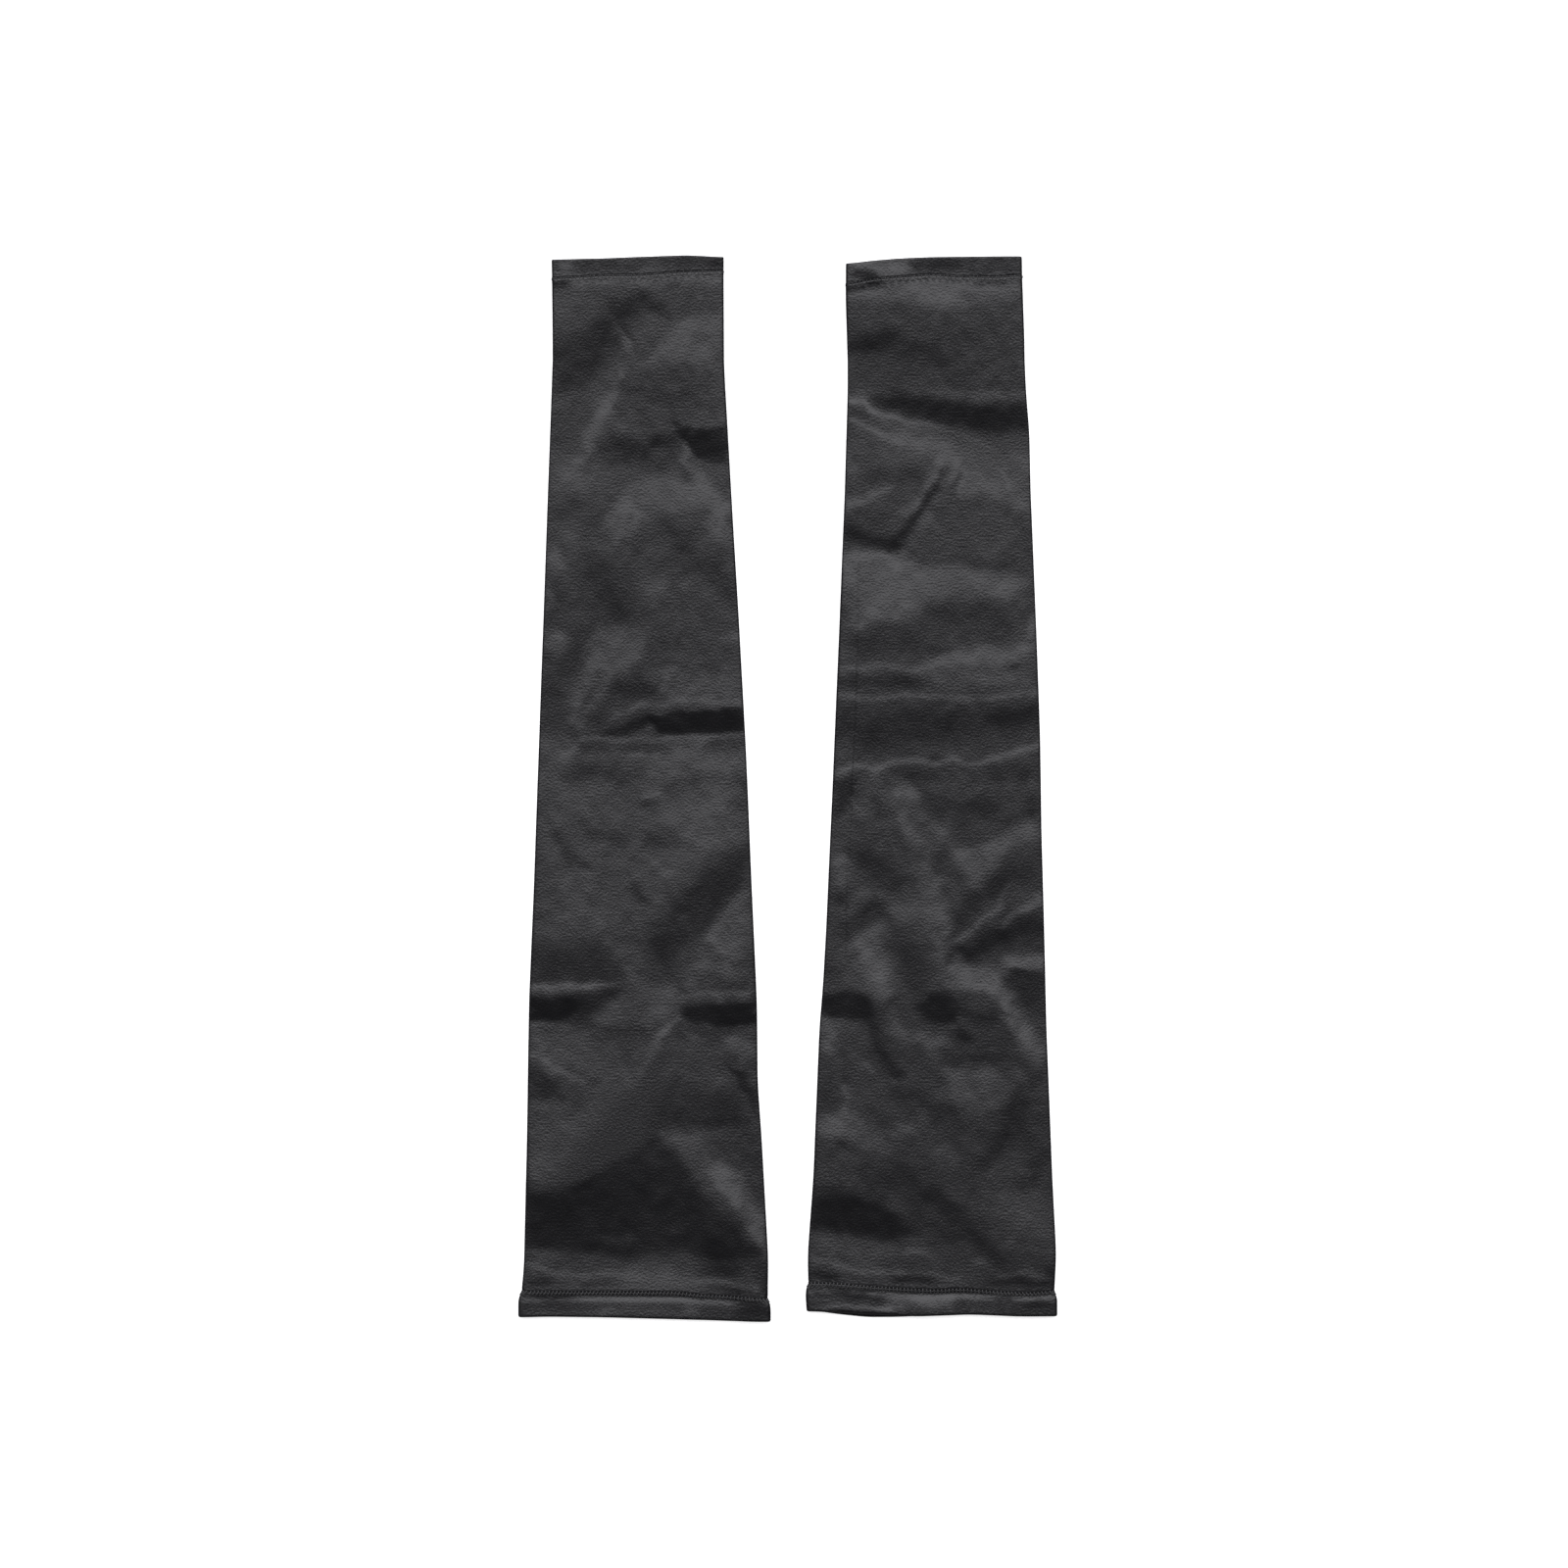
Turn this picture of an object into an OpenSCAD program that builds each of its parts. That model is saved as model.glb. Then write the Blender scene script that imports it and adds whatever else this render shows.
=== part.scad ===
// A pair of fingerless satin opera gloves, laid flat side by side.
// Each glove is one tapered tube of cloth, seamed along one side and hemmed at both ends.
// +Y points to the hand end, +X to the right-hand glove, and +Z up off the table at z = 0.

/* [Sleeve] */
// Length of a glove from its wrist edge to its arm edge
glove_len = 542; // [500:2:600]
// Flat width at the wrist edge
wrist_w = 89; // [80:1:100]
// Flat width where the sleeve meets the arm hem
arm_w = 126; // [112:1:140]
// Length below the wrist edge that stays the same width
straight_len = 40; // [0:5:80]
// Extra width half way down, where the sides bow out
side_bow = 3; // [0:0.5:6]
// Height of the flattened tube off the table
tube_h = 7.4; // [7.4:0.2:9]
// Thickness of the cloth with its soft loft
cloth_t = 0.8; // [0.5:0.1:0.9]
// Gap between the two gloves at their arm hems
pair_gap = 20; // [6:1:60]

/* [Hems] */
// Height of the turned hem at the wrist
wrist_hem_h = 9; // [6:1:16]
// Thickness of the wrist hem, two plies
wrist_hem_t = 1.2; // [1:0.1:1.4]
// Height of the turned hem at the arm
arm_hem_h = 12; // [12:1:20]
// Thickness of the arm hem, two plies and the elastic
arm_hem_t = 1.8; // [1.8:0.1:2]
// How far the arm hem stands out past the sleeve on each side
arm_hem_flare = 1.5; // [0.5:0.5:3]
// How much higher than the sleeve the arm hem stands
arm_hem_rise = 1.2; // [1.2:0.1:1.4]
// Width of the band of hem stitches
stitch_w = 2.5; // [1.5:0.5:4]
// Depth of the groove that the hem stitches pull into
stitch_t = 0.3; // [0.1:0.05:0.4]

/* [Elastic] */
// Width of the elastic tape in the arm hem
elastic_w = 8; // [5:0.5:8]
// Thickness of the elastic tape
elastic_t = 0.5; // [0.3:0.05:0.5]

/* [Seam] */
// Width of the seam allowance inside the tube
allowance_w = 7; // [4:0.5:9]
// Thickness of the seam allowance, two plies
allowance_t = 0.8; // [0.5:0.1:1]
// Width of the overlocking along the allowance's raw edge
overlock_w = 0.8; // [0.5:0.1:1.5]
// Thickness of the overlocking
overlock_t = 1; // [0.8:0.1:1.3]

/* [Fold] */
// Gap between the two halves of a glove, where it folds at the elbow
fold_gap = 0.6; // [0.4:0.1:1]

/* [Hidden] */

satin = [0.09, 0.09, 0.095];
thread = [0.04, 0.04, 0.045];
tape = [0.14, 0.14, 0.15];

// Each glove runs from the wrist edge down to the arm edge, with the fold half way.
wrist_edge_y = glove_len / 2;
arm_edge_y = -glove_len / 2;
wrist_seam_y = wrist_edge_y - wrist_hem_h;
arm_seam_y = arm_edge_y + arm_hem_h;
fold_y = fold_gap / 2;
glove_x = pair_gap / 2 + arm_w / 2 + arm_hem_flare;

// The flattened tube's outline: a flat base, small round edges and a long soft shoulder.
edge_r = 2;
edge_z = 2.2;
shoulder = 10;
edge_steps = 3;
shoulder_steps = 6;

// How many lengths each half of a sleeve is built from
sleeve_steps = 6;

// The elastic has this much room all round in its casing.
casing_ply = 0.6;
casing_room = 0.05;

// The seam allowance starts this far in from the tube's edge.
allowance_inset = 3;

// Half the flat width at a place along the glove
function half_width(y) =
    let (
        taper_len = glove_len - straight_len - arm_hem_h,
        t = min(1, max(0, (wrist_edge_y - y - straight_len) / taper_len))
    )
    (wrist_w + (arm_w - wrist_w) * t + side_bow * sin(180 * t)) / 2;

// Right side of the outline, from the base up to the top, a depth inside the tube's surface
function right_outline(half_w, height, depth) =
    let (w = half_w - depth)
    concat(
        [for (i = [0 : edge_steps]) let (a = 90 * i / edge_steps)
            [w - edge_r + edge_r * sin(a), depth + (edge_z - depth) * (1 - cos(a))]],
        [for (i = [1 : shoulder_steps]) let (a = 90 * i / shoulder_steps)
            [w - shoulder + shoulder * cos(a), edge_z + (height - depth - edge_z) * sin(a)]]
    );

// Whole closed outline
function outline(half_w, height, depth) =
    let (right = right_outline(half_w, height, depth), last = len(right) - 1)
    concat(right, [for (i = [last : -1 : 0]) [-right[i][0], right[i][1]]]);

// Faces that join rings of points into a solid closed both ways, like a tyre
function tyre_faces(rings, around) = [
    for (i = [0 : rings - 1], j = [0 : around - 1])
        let (i2 = (i + 1) % rings, j2 = (j + 1) % around)
        for (f = [
            [i * around + j, i2 * around + j, i2 * around + j2],
            [i * around + j, i2 * around + j2, i * around + j2]
        ]) f
];

// A band all round the tube, from a closed profile of [place along the glove, depth] points
module band(profile, flare = 0, rise = 0) {
    rings = [for (p = profile)
        [for (q = outline(half_width(p[0]) + flare, tube_h + rise, p[1])) [q[0], p[0], q[1]]]];
    polyhedron(
        points = [for (r = rings) each r],
        faces = tyre_faces(len(rings), len(rings[0])),
        convexity = 8
    );
}

// A wall of cloth all round, from one place along the glove to a lower one
module cloth_tube(y_high, y_low) {
    step = (y_high - y_low) / sleeve_steps;
    outside = [for (i = [0 : sleeve_steps]) [y_high - i * step, 0]];
    inside = [for (i = [sleeve_steps : -1 : 0]) [y_high - i * step, cloth_t]];
    band(concat(outside, inside));
}

// A flat strip along the seam side of the tube, lying on the back layer
module seam_strip(y_high, y_low, from_edge, width, thickness) {
    step = (y_high - y_low) / sleeve_steps;
    points = [for (i = [0 : sleeve_steps])
        let (y = y_high - i * step, near = half_width(y) - from_edge, far = near - width)
        each [
            [far, y, cloth_t], [near, y, cloth_t],
            [near, y, cloth_t + thickness], [far, y, cloth_t + thickness]
        ]];
    sides = [for (i = [0 : sleeve_steps - 1], j = [0 : 3])
        let (a = 4 * i + j, b = 4 * i + (j + 1) % 4)
        each [[a, b, b + 4], [a, b + 4, a + 4]]];
    end = 4 * sleeve_steps;
    ends = [[3, 2, 1], [3, 1, 0], [end, end + 1, end + 2], [end, end + 2, end + 3]];
    polyhedron(points = points, faces = concat(sides, ends));
}

// Puts a part on the left or right glove, with the seam on the side that faces the other glove
module on_left() translate([-glove_x, 0, 0]) children();
module on_right() translate([glove_x, 0, 0]) mirror([1, 0, 0]) children();

module forearm_sleeve() color(satin) cloth_tube(wrist_seam_y, fold_y);

module upper_arm_sleeve() color(satin) cloth_tube(-fold_y, arm_seam_y);

// A turned hem, with a groove where its stitches pull in
module wrist_hem() color(satin)
    band([
        [wrist_seam_y, stitch_t],
        [wrist_seam_y, wrist_hem_t],
        [wrist_edge_y, wrist_hem_t],
        [wrist_edge_y, 0],
        [wrist_seam_y + stitch_w, 0],
        [wrist_seam_y + stitch_w, stitch_t]
    ]);

module wrist_hem_stitches() color(thread)
    band([
        [wrist_seam_y, 0],
        [wrist_seam_y, stitch_t],
        [wrist_seam_y + stitch_w, stitch_t],
        [wrist_seam_y + stitch_w, 0]
    ]);

// The arm hem is folded round a casing that opens towards the stitches.
module arm_hem() color(satin)
    band([
        [arm_seam_y, casing_ply],
        [arm_edge_y + casing_ply, casing_ply],
        [arm_edge_y + casing_ply, arm_hem_t - casing_ply],
        [arm_seam_y, arm_hem_t - casing_ply],
        [arm_seam_y, arm_hem_t],
        [arm_edge_y, arm_hem_t],
        [arm_edge_y, 0],
        [arm_seam_y - stitch_w, 0],
        [arm_seam_y - stitch_w, stitch_t],
        [arm_seam_y, stitch_t]
    ], arm_hem_flare, arm_hem_rise);

module arm_hem_stitches() color(thread)
    band([
        [arm_seam_y - stitch_w, 0],
        [arm_seam_y - stitch_w, stitch_t],
        [arm_seam_y, stitch_t],
        [arm_seam_y, 0]
    ], arm_hem_flare, arm_hem_rise);

module arm_elastic() color(tape) {
    low_y = arm_edge_y + casing_ply + casing_room;
    outer = casing_ply + casing_room;
    band([
        [low_y, outer],
        [low_y, outer + elastic_t],
        [low_y + elastic_w, outer + elastic_t],
        [low_y + elastic_w, outer]
    ], arm_hem_flare, arm_hem_rise);
}

module forearm_seam_allowance() color(satin)
    seam_strip(wrist_seam_y, fold_y, allowance_inset, allowance_w, allowance_t);

module upper_arm_seam_allowance() color(satin)
    seam_strip(-fold_y, arm_seam_y, allowance_inset, allowance_w, allowance_t);

module forearm_overlock_thread() color(thread)
    seam_strip(wrist_seam_y, fold_y, allowance_inset + allowance_w, overlock_w, overlock_t);

module upper_arm_overlock_thread() color(thread)
    seam_strip(-fold_y, arm_seam_y, allowance_inset + allowance_w, overlock_w, overlock_t);

on_left() forearm_sleeve();  // left_forearm_sleeve
on_left() upper_arm_sleeve();  // left_upper_arm_sleeve
on_left() wrist_hem();  // left_wrist_hem
on_left() wrist_hem_stitches();  // left_wrist_hem_stitches
on_left() arm_hem();  // left_arm_hem
on_left() arm_hem_stitches();  // left_arm_hem_stitches
on_left() arm_elastic();  // left_arm_elastic
on_left() forearm_seam_allowance();  // left_forearm_seam_allowance
on_left() upper_arm_seam_allowance();  // left_upper_arm_seam_allowance
on_left() forearm_overlock_thread();  // left_forearm_overlock_thread
on_left() upper_arm_overlock_thread();  // left_upper_arm_overlock_thread
on_right() forearm_sleeve();  // right_forearm_sleeve
on_right() upper_arm_sleeve();  // right_upper_arm_sleeve
on_right() wrist_hem();  // right_wrist_hem
on_right() wrist_hem_stitches();  // right_wrist_hem_stitches
on_right() arm_hem();  // right_arm_hem
on_right() arm_hem_stitches();  // right_arm_hem_stitches
on_right() arm_elastic();  // right_arm_elastic
on_right() forearm_seam_allowance();  // right_forearm_seam_allowance
on_right() upper_arm_seam_allowance();  // right_upper_arm_seam_allowance
on_right() forearm_overlock_thread();  // right_forearm_overlock_thread
on_right() upper_arm_overlock_thread();  // right_upper_arm_overlock_thread
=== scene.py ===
"""The looks of a pair of black satin opera gloves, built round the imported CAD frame.

Lengths in this script are millimetres in the frame's own axes, and make_piece() turns them into metres.
+Y points to the hand end, +X to the right glove and +Z up off the table.
"""
import math

import bpy
import numpy as np
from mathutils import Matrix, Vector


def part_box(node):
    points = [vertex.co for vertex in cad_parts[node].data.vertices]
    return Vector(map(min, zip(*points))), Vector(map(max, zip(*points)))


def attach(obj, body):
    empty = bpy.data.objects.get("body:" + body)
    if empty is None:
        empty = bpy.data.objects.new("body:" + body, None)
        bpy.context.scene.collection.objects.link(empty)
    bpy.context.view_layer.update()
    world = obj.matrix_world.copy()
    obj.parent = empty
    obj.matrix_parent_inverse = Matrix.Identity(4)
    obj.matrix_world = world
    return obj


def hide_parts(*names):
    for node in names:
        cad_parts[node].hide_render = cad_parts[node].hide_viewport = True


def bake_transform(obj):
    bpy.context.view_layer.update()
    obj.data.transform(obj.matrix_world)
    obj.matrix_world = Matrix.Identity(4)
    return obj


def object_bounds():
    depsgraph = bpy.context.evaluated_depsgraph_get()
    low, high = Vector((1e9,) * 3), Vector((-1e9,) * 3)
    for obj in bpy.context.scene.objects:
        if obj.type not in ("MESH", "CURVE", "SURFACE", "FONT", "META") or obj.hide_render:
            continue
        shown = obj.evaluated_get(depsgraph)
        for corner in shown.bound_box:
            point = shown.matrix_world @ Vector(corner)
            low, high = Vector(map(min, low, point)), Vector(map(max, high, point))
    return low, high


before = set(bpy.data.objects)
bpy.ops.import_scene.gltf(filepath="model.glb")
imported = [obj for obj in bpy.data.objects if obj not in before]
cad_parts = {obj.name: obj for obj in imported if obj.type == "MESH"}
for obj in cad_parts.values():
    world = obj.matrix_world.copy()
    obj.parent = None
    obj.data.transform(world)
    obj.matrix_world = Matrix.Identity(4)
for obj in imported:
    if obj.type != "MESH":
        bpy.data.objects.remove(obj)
cad_low, cad_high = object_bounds()

MM = 0.001
SIDES = ("left", "right")


def node_box(node):
    """Lowest and highest corner of a CAD node, in millimetres."""
    low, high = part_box(node)
    return np.array(low) / MM, np.array(high) / MM


# ---------------------------------------------------------------- sizes that the frame gives

wrist_hem_low, wrist_hem_high = node_box("left_wrist_hem")
arm_hem_low, arm_hem_high = node_box("left_arm_hem")
sleeve_low, sleeve_high = node_box("left_upper_arm_sleeve")

wrist_edge_y = wrist_hem_high[1]
wrist_seam_y = wrist_hem_low[1]
arm_seam_y = sleeve_low[1]
arm_edge_y = arm_hem_low[1]
tube_top = sleeve_high[2]
hem_flare = (arm_hem_high[0] - arm_hem_low[0] - (sleeve_high[0] - sleeve_low[0])) / 2

# ---------------------------------------------------------------- sizes of the cloth

cloth_thick = 0.4          # satin with its soft loft
base_z = 0.12              # the back layer's lowest height off the table
side_round = 1.0           # radius of the pressed fold down each side
wrist_round = 1.35         # the same at the wrist hem, which is two plies
arm_round = 2.0            # the same at the arm hem, two plies and the elastic
mid_loft = 4.9             # height of the front layer's middle, before its folds
wrist_loft = 4.5           # the same at the wrist edge
arm_loft = 5.1             # the same at the arm hem
side_loft = 0.8            # how much lower the front layer lies at its sides
side_slope = 8.0           # how far in from a side the cloth takes to rise
lowest_top = 2.0           # the front layer never lies lower than this
highest_top = tube_top + 0.7
wrist_hem_thick = 1.1
wrist_ply = 0.45
arm_hem_thick = 1.8
arm_ply = 0.6
layer_gap = 0.2            # room between the front and back layers in a hem
wrist_groove = 0.22        # how deep the hem stitches pull in
arm_groove = 0.46
wrist_reach = (0.6, 0.4)   # how far that groove reaches into the sleeve, and into the hem
arm_reach = (1.7, 2.2)
wrist_shift = 0.4          # how far past the stitch line, on the hem, the groove is deepest
arm_shift = 1.4
groove_lip = 0.07          # height of the rounded lip on the groove's sleeve side
lip_width = 0.9
lip_place = 1.6            # how far out it is, in reaches of the groove
pucker_pitch = 3.6         # the cloth beside the stitches gathers in puckers this far apart
pucker_height = 0.22
fold_tilt = 0.15           # slope of a fold painted with a tone of 1
bar_pitch = 1.9            # from one bar of a hem stitch to the next
bar_lean = 0.3             # how far a bar's ends are from square to the hem
wrist_thread = 0.2         # radius of the bars
arm_thread = 0.38
overlock_thread = 0.17
wrist_bar = 0.7            # half the bars' height
arm_bar = 1.1
elastic_width = 8.0
elastic_thick = 0.5
allowance_start = 1.6      # the seam allowance runs inside the tube from here, in from the seam side
allowance_end = 9.4
allowance_ply = 0.32
show_share = 0.095         # where the allowance's edge shows through the right glove, as a share of its width
show_depth = 0.3
show_width = 0.35
show_waves = (0.4, 23)     # how far it wanders, and the length of that
show_arm_fade = (-110, -75)     # where along the glove it starts, at the arm's end
show_wrist_fade = (-135, -105)  # and at the wrist's end, counted towards the arm
allowance_gap = 0.1        # room between its two plies
allowance_stop = (7, 8)    # it stops this far short of the wrist's and the arm's stitch lines
allowance_waves = ((0.25, 7.3), (0.15, 2.9))  # how far its raw edge wanders, and the length of that
allowance_curl = 0.3       # how far its raw edge rises
allowance_rows = 300
overlock_pitch = 2.5
overlock_stop = (8, 9)
overlock_loop = (0.95, 0.56)    # half the winding's width and height
wander_soft = 6            # the sides' lines are rounded over this length
near_side = 60             # the place across where the arm's stitch line meets a side
pinch_depth = 0.25         # how far the arm's stitches draw the sides in
pinch_width = 1.5
# Lengths over which the sides' roundness and the middle's height change, at the wrist and at the arm.
wrist_ramp = (25, 30)
arm_ramp = (12, 70)
wave_length = 11           # the puckers crowd and spread over this length
pucker_lip = 1.4           # how far from the wrist's stitch line the puckers are highest
pucker_width = 1.1
limit_bend = 3             # how sharply the front layer bends at its lowest and highest
back_wave_height = 0.25
back_rise = (2, 14)        # the back layer's waves begin and are full this far in from the sides
back_ends = (20, 15)       # and they fade out over these lengths at the arm edge and the wrist edge
flare_span = (0.5, 2.5)    # the arm hem's extra width comes in from before to after its stitch line
ply_ramp = (4, 20)         # lowest_top rises over these lengths to the wrist hem and the arm hem
sleeve_columns = (106, 6, 20)   # how many columns go over the front, round each side and over the back
hem_columns = (240, 10, 120)
tape_columns = (110, 8, 60)
show_columns = 8           # extra columns of the sleeve where the allowance shows through
crowd_width = 0.012        # the share of the front that they crowd into
crowd_area = 0.021         # the area under a crowd of height 1
near_rows = (0, 0.5, 1.0, 1.6, 2.3, 3.1, 3.8)   # the sleeve's rows next to a stitch line
middle_start = 4.6         # where its evenly spaced rows start
middle_rows = 537
hem_fine_rows = (2.1, 8)   # a hem's rows are closer together this far past the stitch line
hem_coarse_rows = (2.7, 15)
under_gap = 0.12           # the hem thread runs this far under the cloth's face
bar_share = 0.32           # the part of a hem stitch that lies on the face

# ---------------------------------------------------------------- how each glove differs

# How far each side lies outside the cut's own line, as (place along the glove, distance).
SIDE_WANDER = {
    ("left", "left"): [(271, 1.5), (230, 0.5), (190, 0), (140, -0.5), (90, -1), (20, -1.4), (-50, -1.6),
                       (-110, -1.1), (-180, -2.2), (-245, -2.5), (-258, -1.5), (-271, -1.5)],
    ("left", "right"): [(271, -2.5), (210, -3), (140, -2.3), (90, -1.5), (20, -0.6), (-50, -0.3), (-110, 0.4),
                        (-150, -0.5), (-180, 0.7), (-240, 2.3), (-258, 1.5), (-271, 1.5)],
    ("right", "left"): [(271, 0.2), (252, 0.2), (227, -0.9), (202, -2.1), (150, -3), (80, -3.3), (0, -3.2),
                        (-70, -2.6), (-98, -2), (-123, -0.8), (-198, 0), (-238, 1.8), (-258, 0.8), (-271, 0)],
    ("right", "right"): [(271, 0.7), (227, 1.6), (202, 1.5), (182, 2.3), (152, 1.5), (77, 1.2), (27, 0.9),
                         (-23, -0.3), (-73, -0.7), (-123, -1.2), (-198, -0.5), (-238, 0.4), (-258, -1.2),
                         (-271, -1.2)],
}

# How far each edge and stitch line strays to the hand end from its CAD line, as (place across, distance).
LINE_STRAY = {
    ("left", "wrist_edge"): [(-45, -1), (-20, -0.5), (0, 0.3), (24, 1.2), (42, 0.3)],
    ("left", "wrist_seam"): [(-45, -2), (-20, -0.5), (0, -0.4), (20, 1.3), (42, 2)],
    ("left", "arm_seam"): [(-62, 1.8), (20, 1.3), (30, 0), (45, -0.5), (62, -2)],
    ("left", "arm_edge"): [(-62, 1), (-50, 1.3), (-20, 1), (30, -0.3), (60, -1.3)],
    ("right", "wrist_edge"): [(-44, -3), (-30, -1.5), (-18, -0.5), (0, 0.2), (45, 0.6)],
    ("right", "wrist_seam"): [(-44, -5), (-38, -3.5), (-30, -2.5), (-20, -1.5), (0, 0), (12, -1.2),
                              (35, -1.5), (45, -0.5)],
    ("right", "arm_seam"): [(-64, 6.2), (-50, 5.8), (-40, 4.8), (-20, 3.4), (0, 2.4), (15, 3.2), (30, 2),
                            (50, 1), (62, 2)],
    ("right", "arm_edge"): [(-64, 4), (-40, 3), (-10, 1.5), (20, 2.5), (45, 1.5), (60, 1.5)],
}

# The right glove's back layer shows past its front layer at the arm end.
BACK_SHOWS = {
    "left": [(-60, 0), (60, 0)],
    "right": [(-60, 0), (-50, -1), (-35, -1.8), (-20, -1), (-8, 0), (60, 0)],
}

# How strongly the cloth puckers beside each row of stitches, as (place across, strength).
PUCKERS = {
    ("left", "wrist_seam"): [(-45, 0.3), (-30, 0.6), (0, 0.5), (10, 0.9), (30, 0.8), (42, 0.2)],
    ("left", "arm_seam"): [(-62, 0.2), (-20, 0.4), (10, 0.6), (30, 0.7), (62, 0.4)],
    ("right", "wrist_seam"): [(-44, 0.3), (-30, 0.9), (-10, 1.3), (10, 1.2), (20, 0.5), (45, 0.4)],
    ("right", "arm_seam"): [(-64, 0.2), (-30, 0.4), (0, 0.8), (30, 0.7), (62, 0.4)],
}

# How hard each row of stitches pulls the front layer in, as (place across, share of the full groove).
PULLS = {
    ("left", "wrist_seam"): [(-45, 0.7), (0, 0.8), (42, 1.1)],
    ("left", "arm_seam"): [(-62, 0.3), (-45, 0.7), (-32, 0.9), (-18, 0.5), (-10, 1.1), (5, 1), (14, 0.6),
                           (22, 1.1), (32, 0.4), (45, 0.8), (62, 0.1)],
    ("right", "wrist_seam"): [(-44, 0.3), (-20, 0.8), (-8, 1.2), (10, 0.6), (20, 1), (45, 0.8)],
    ("right", "arm_seam"): [(-64, 0.2), (-50, 0.4), (-35, 0.6), (-20, 0.9), (0, 1.2), (25, 1.1), (38, 0.3),
                            (46, 0.8), (62, 0.9)],
}

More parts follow.
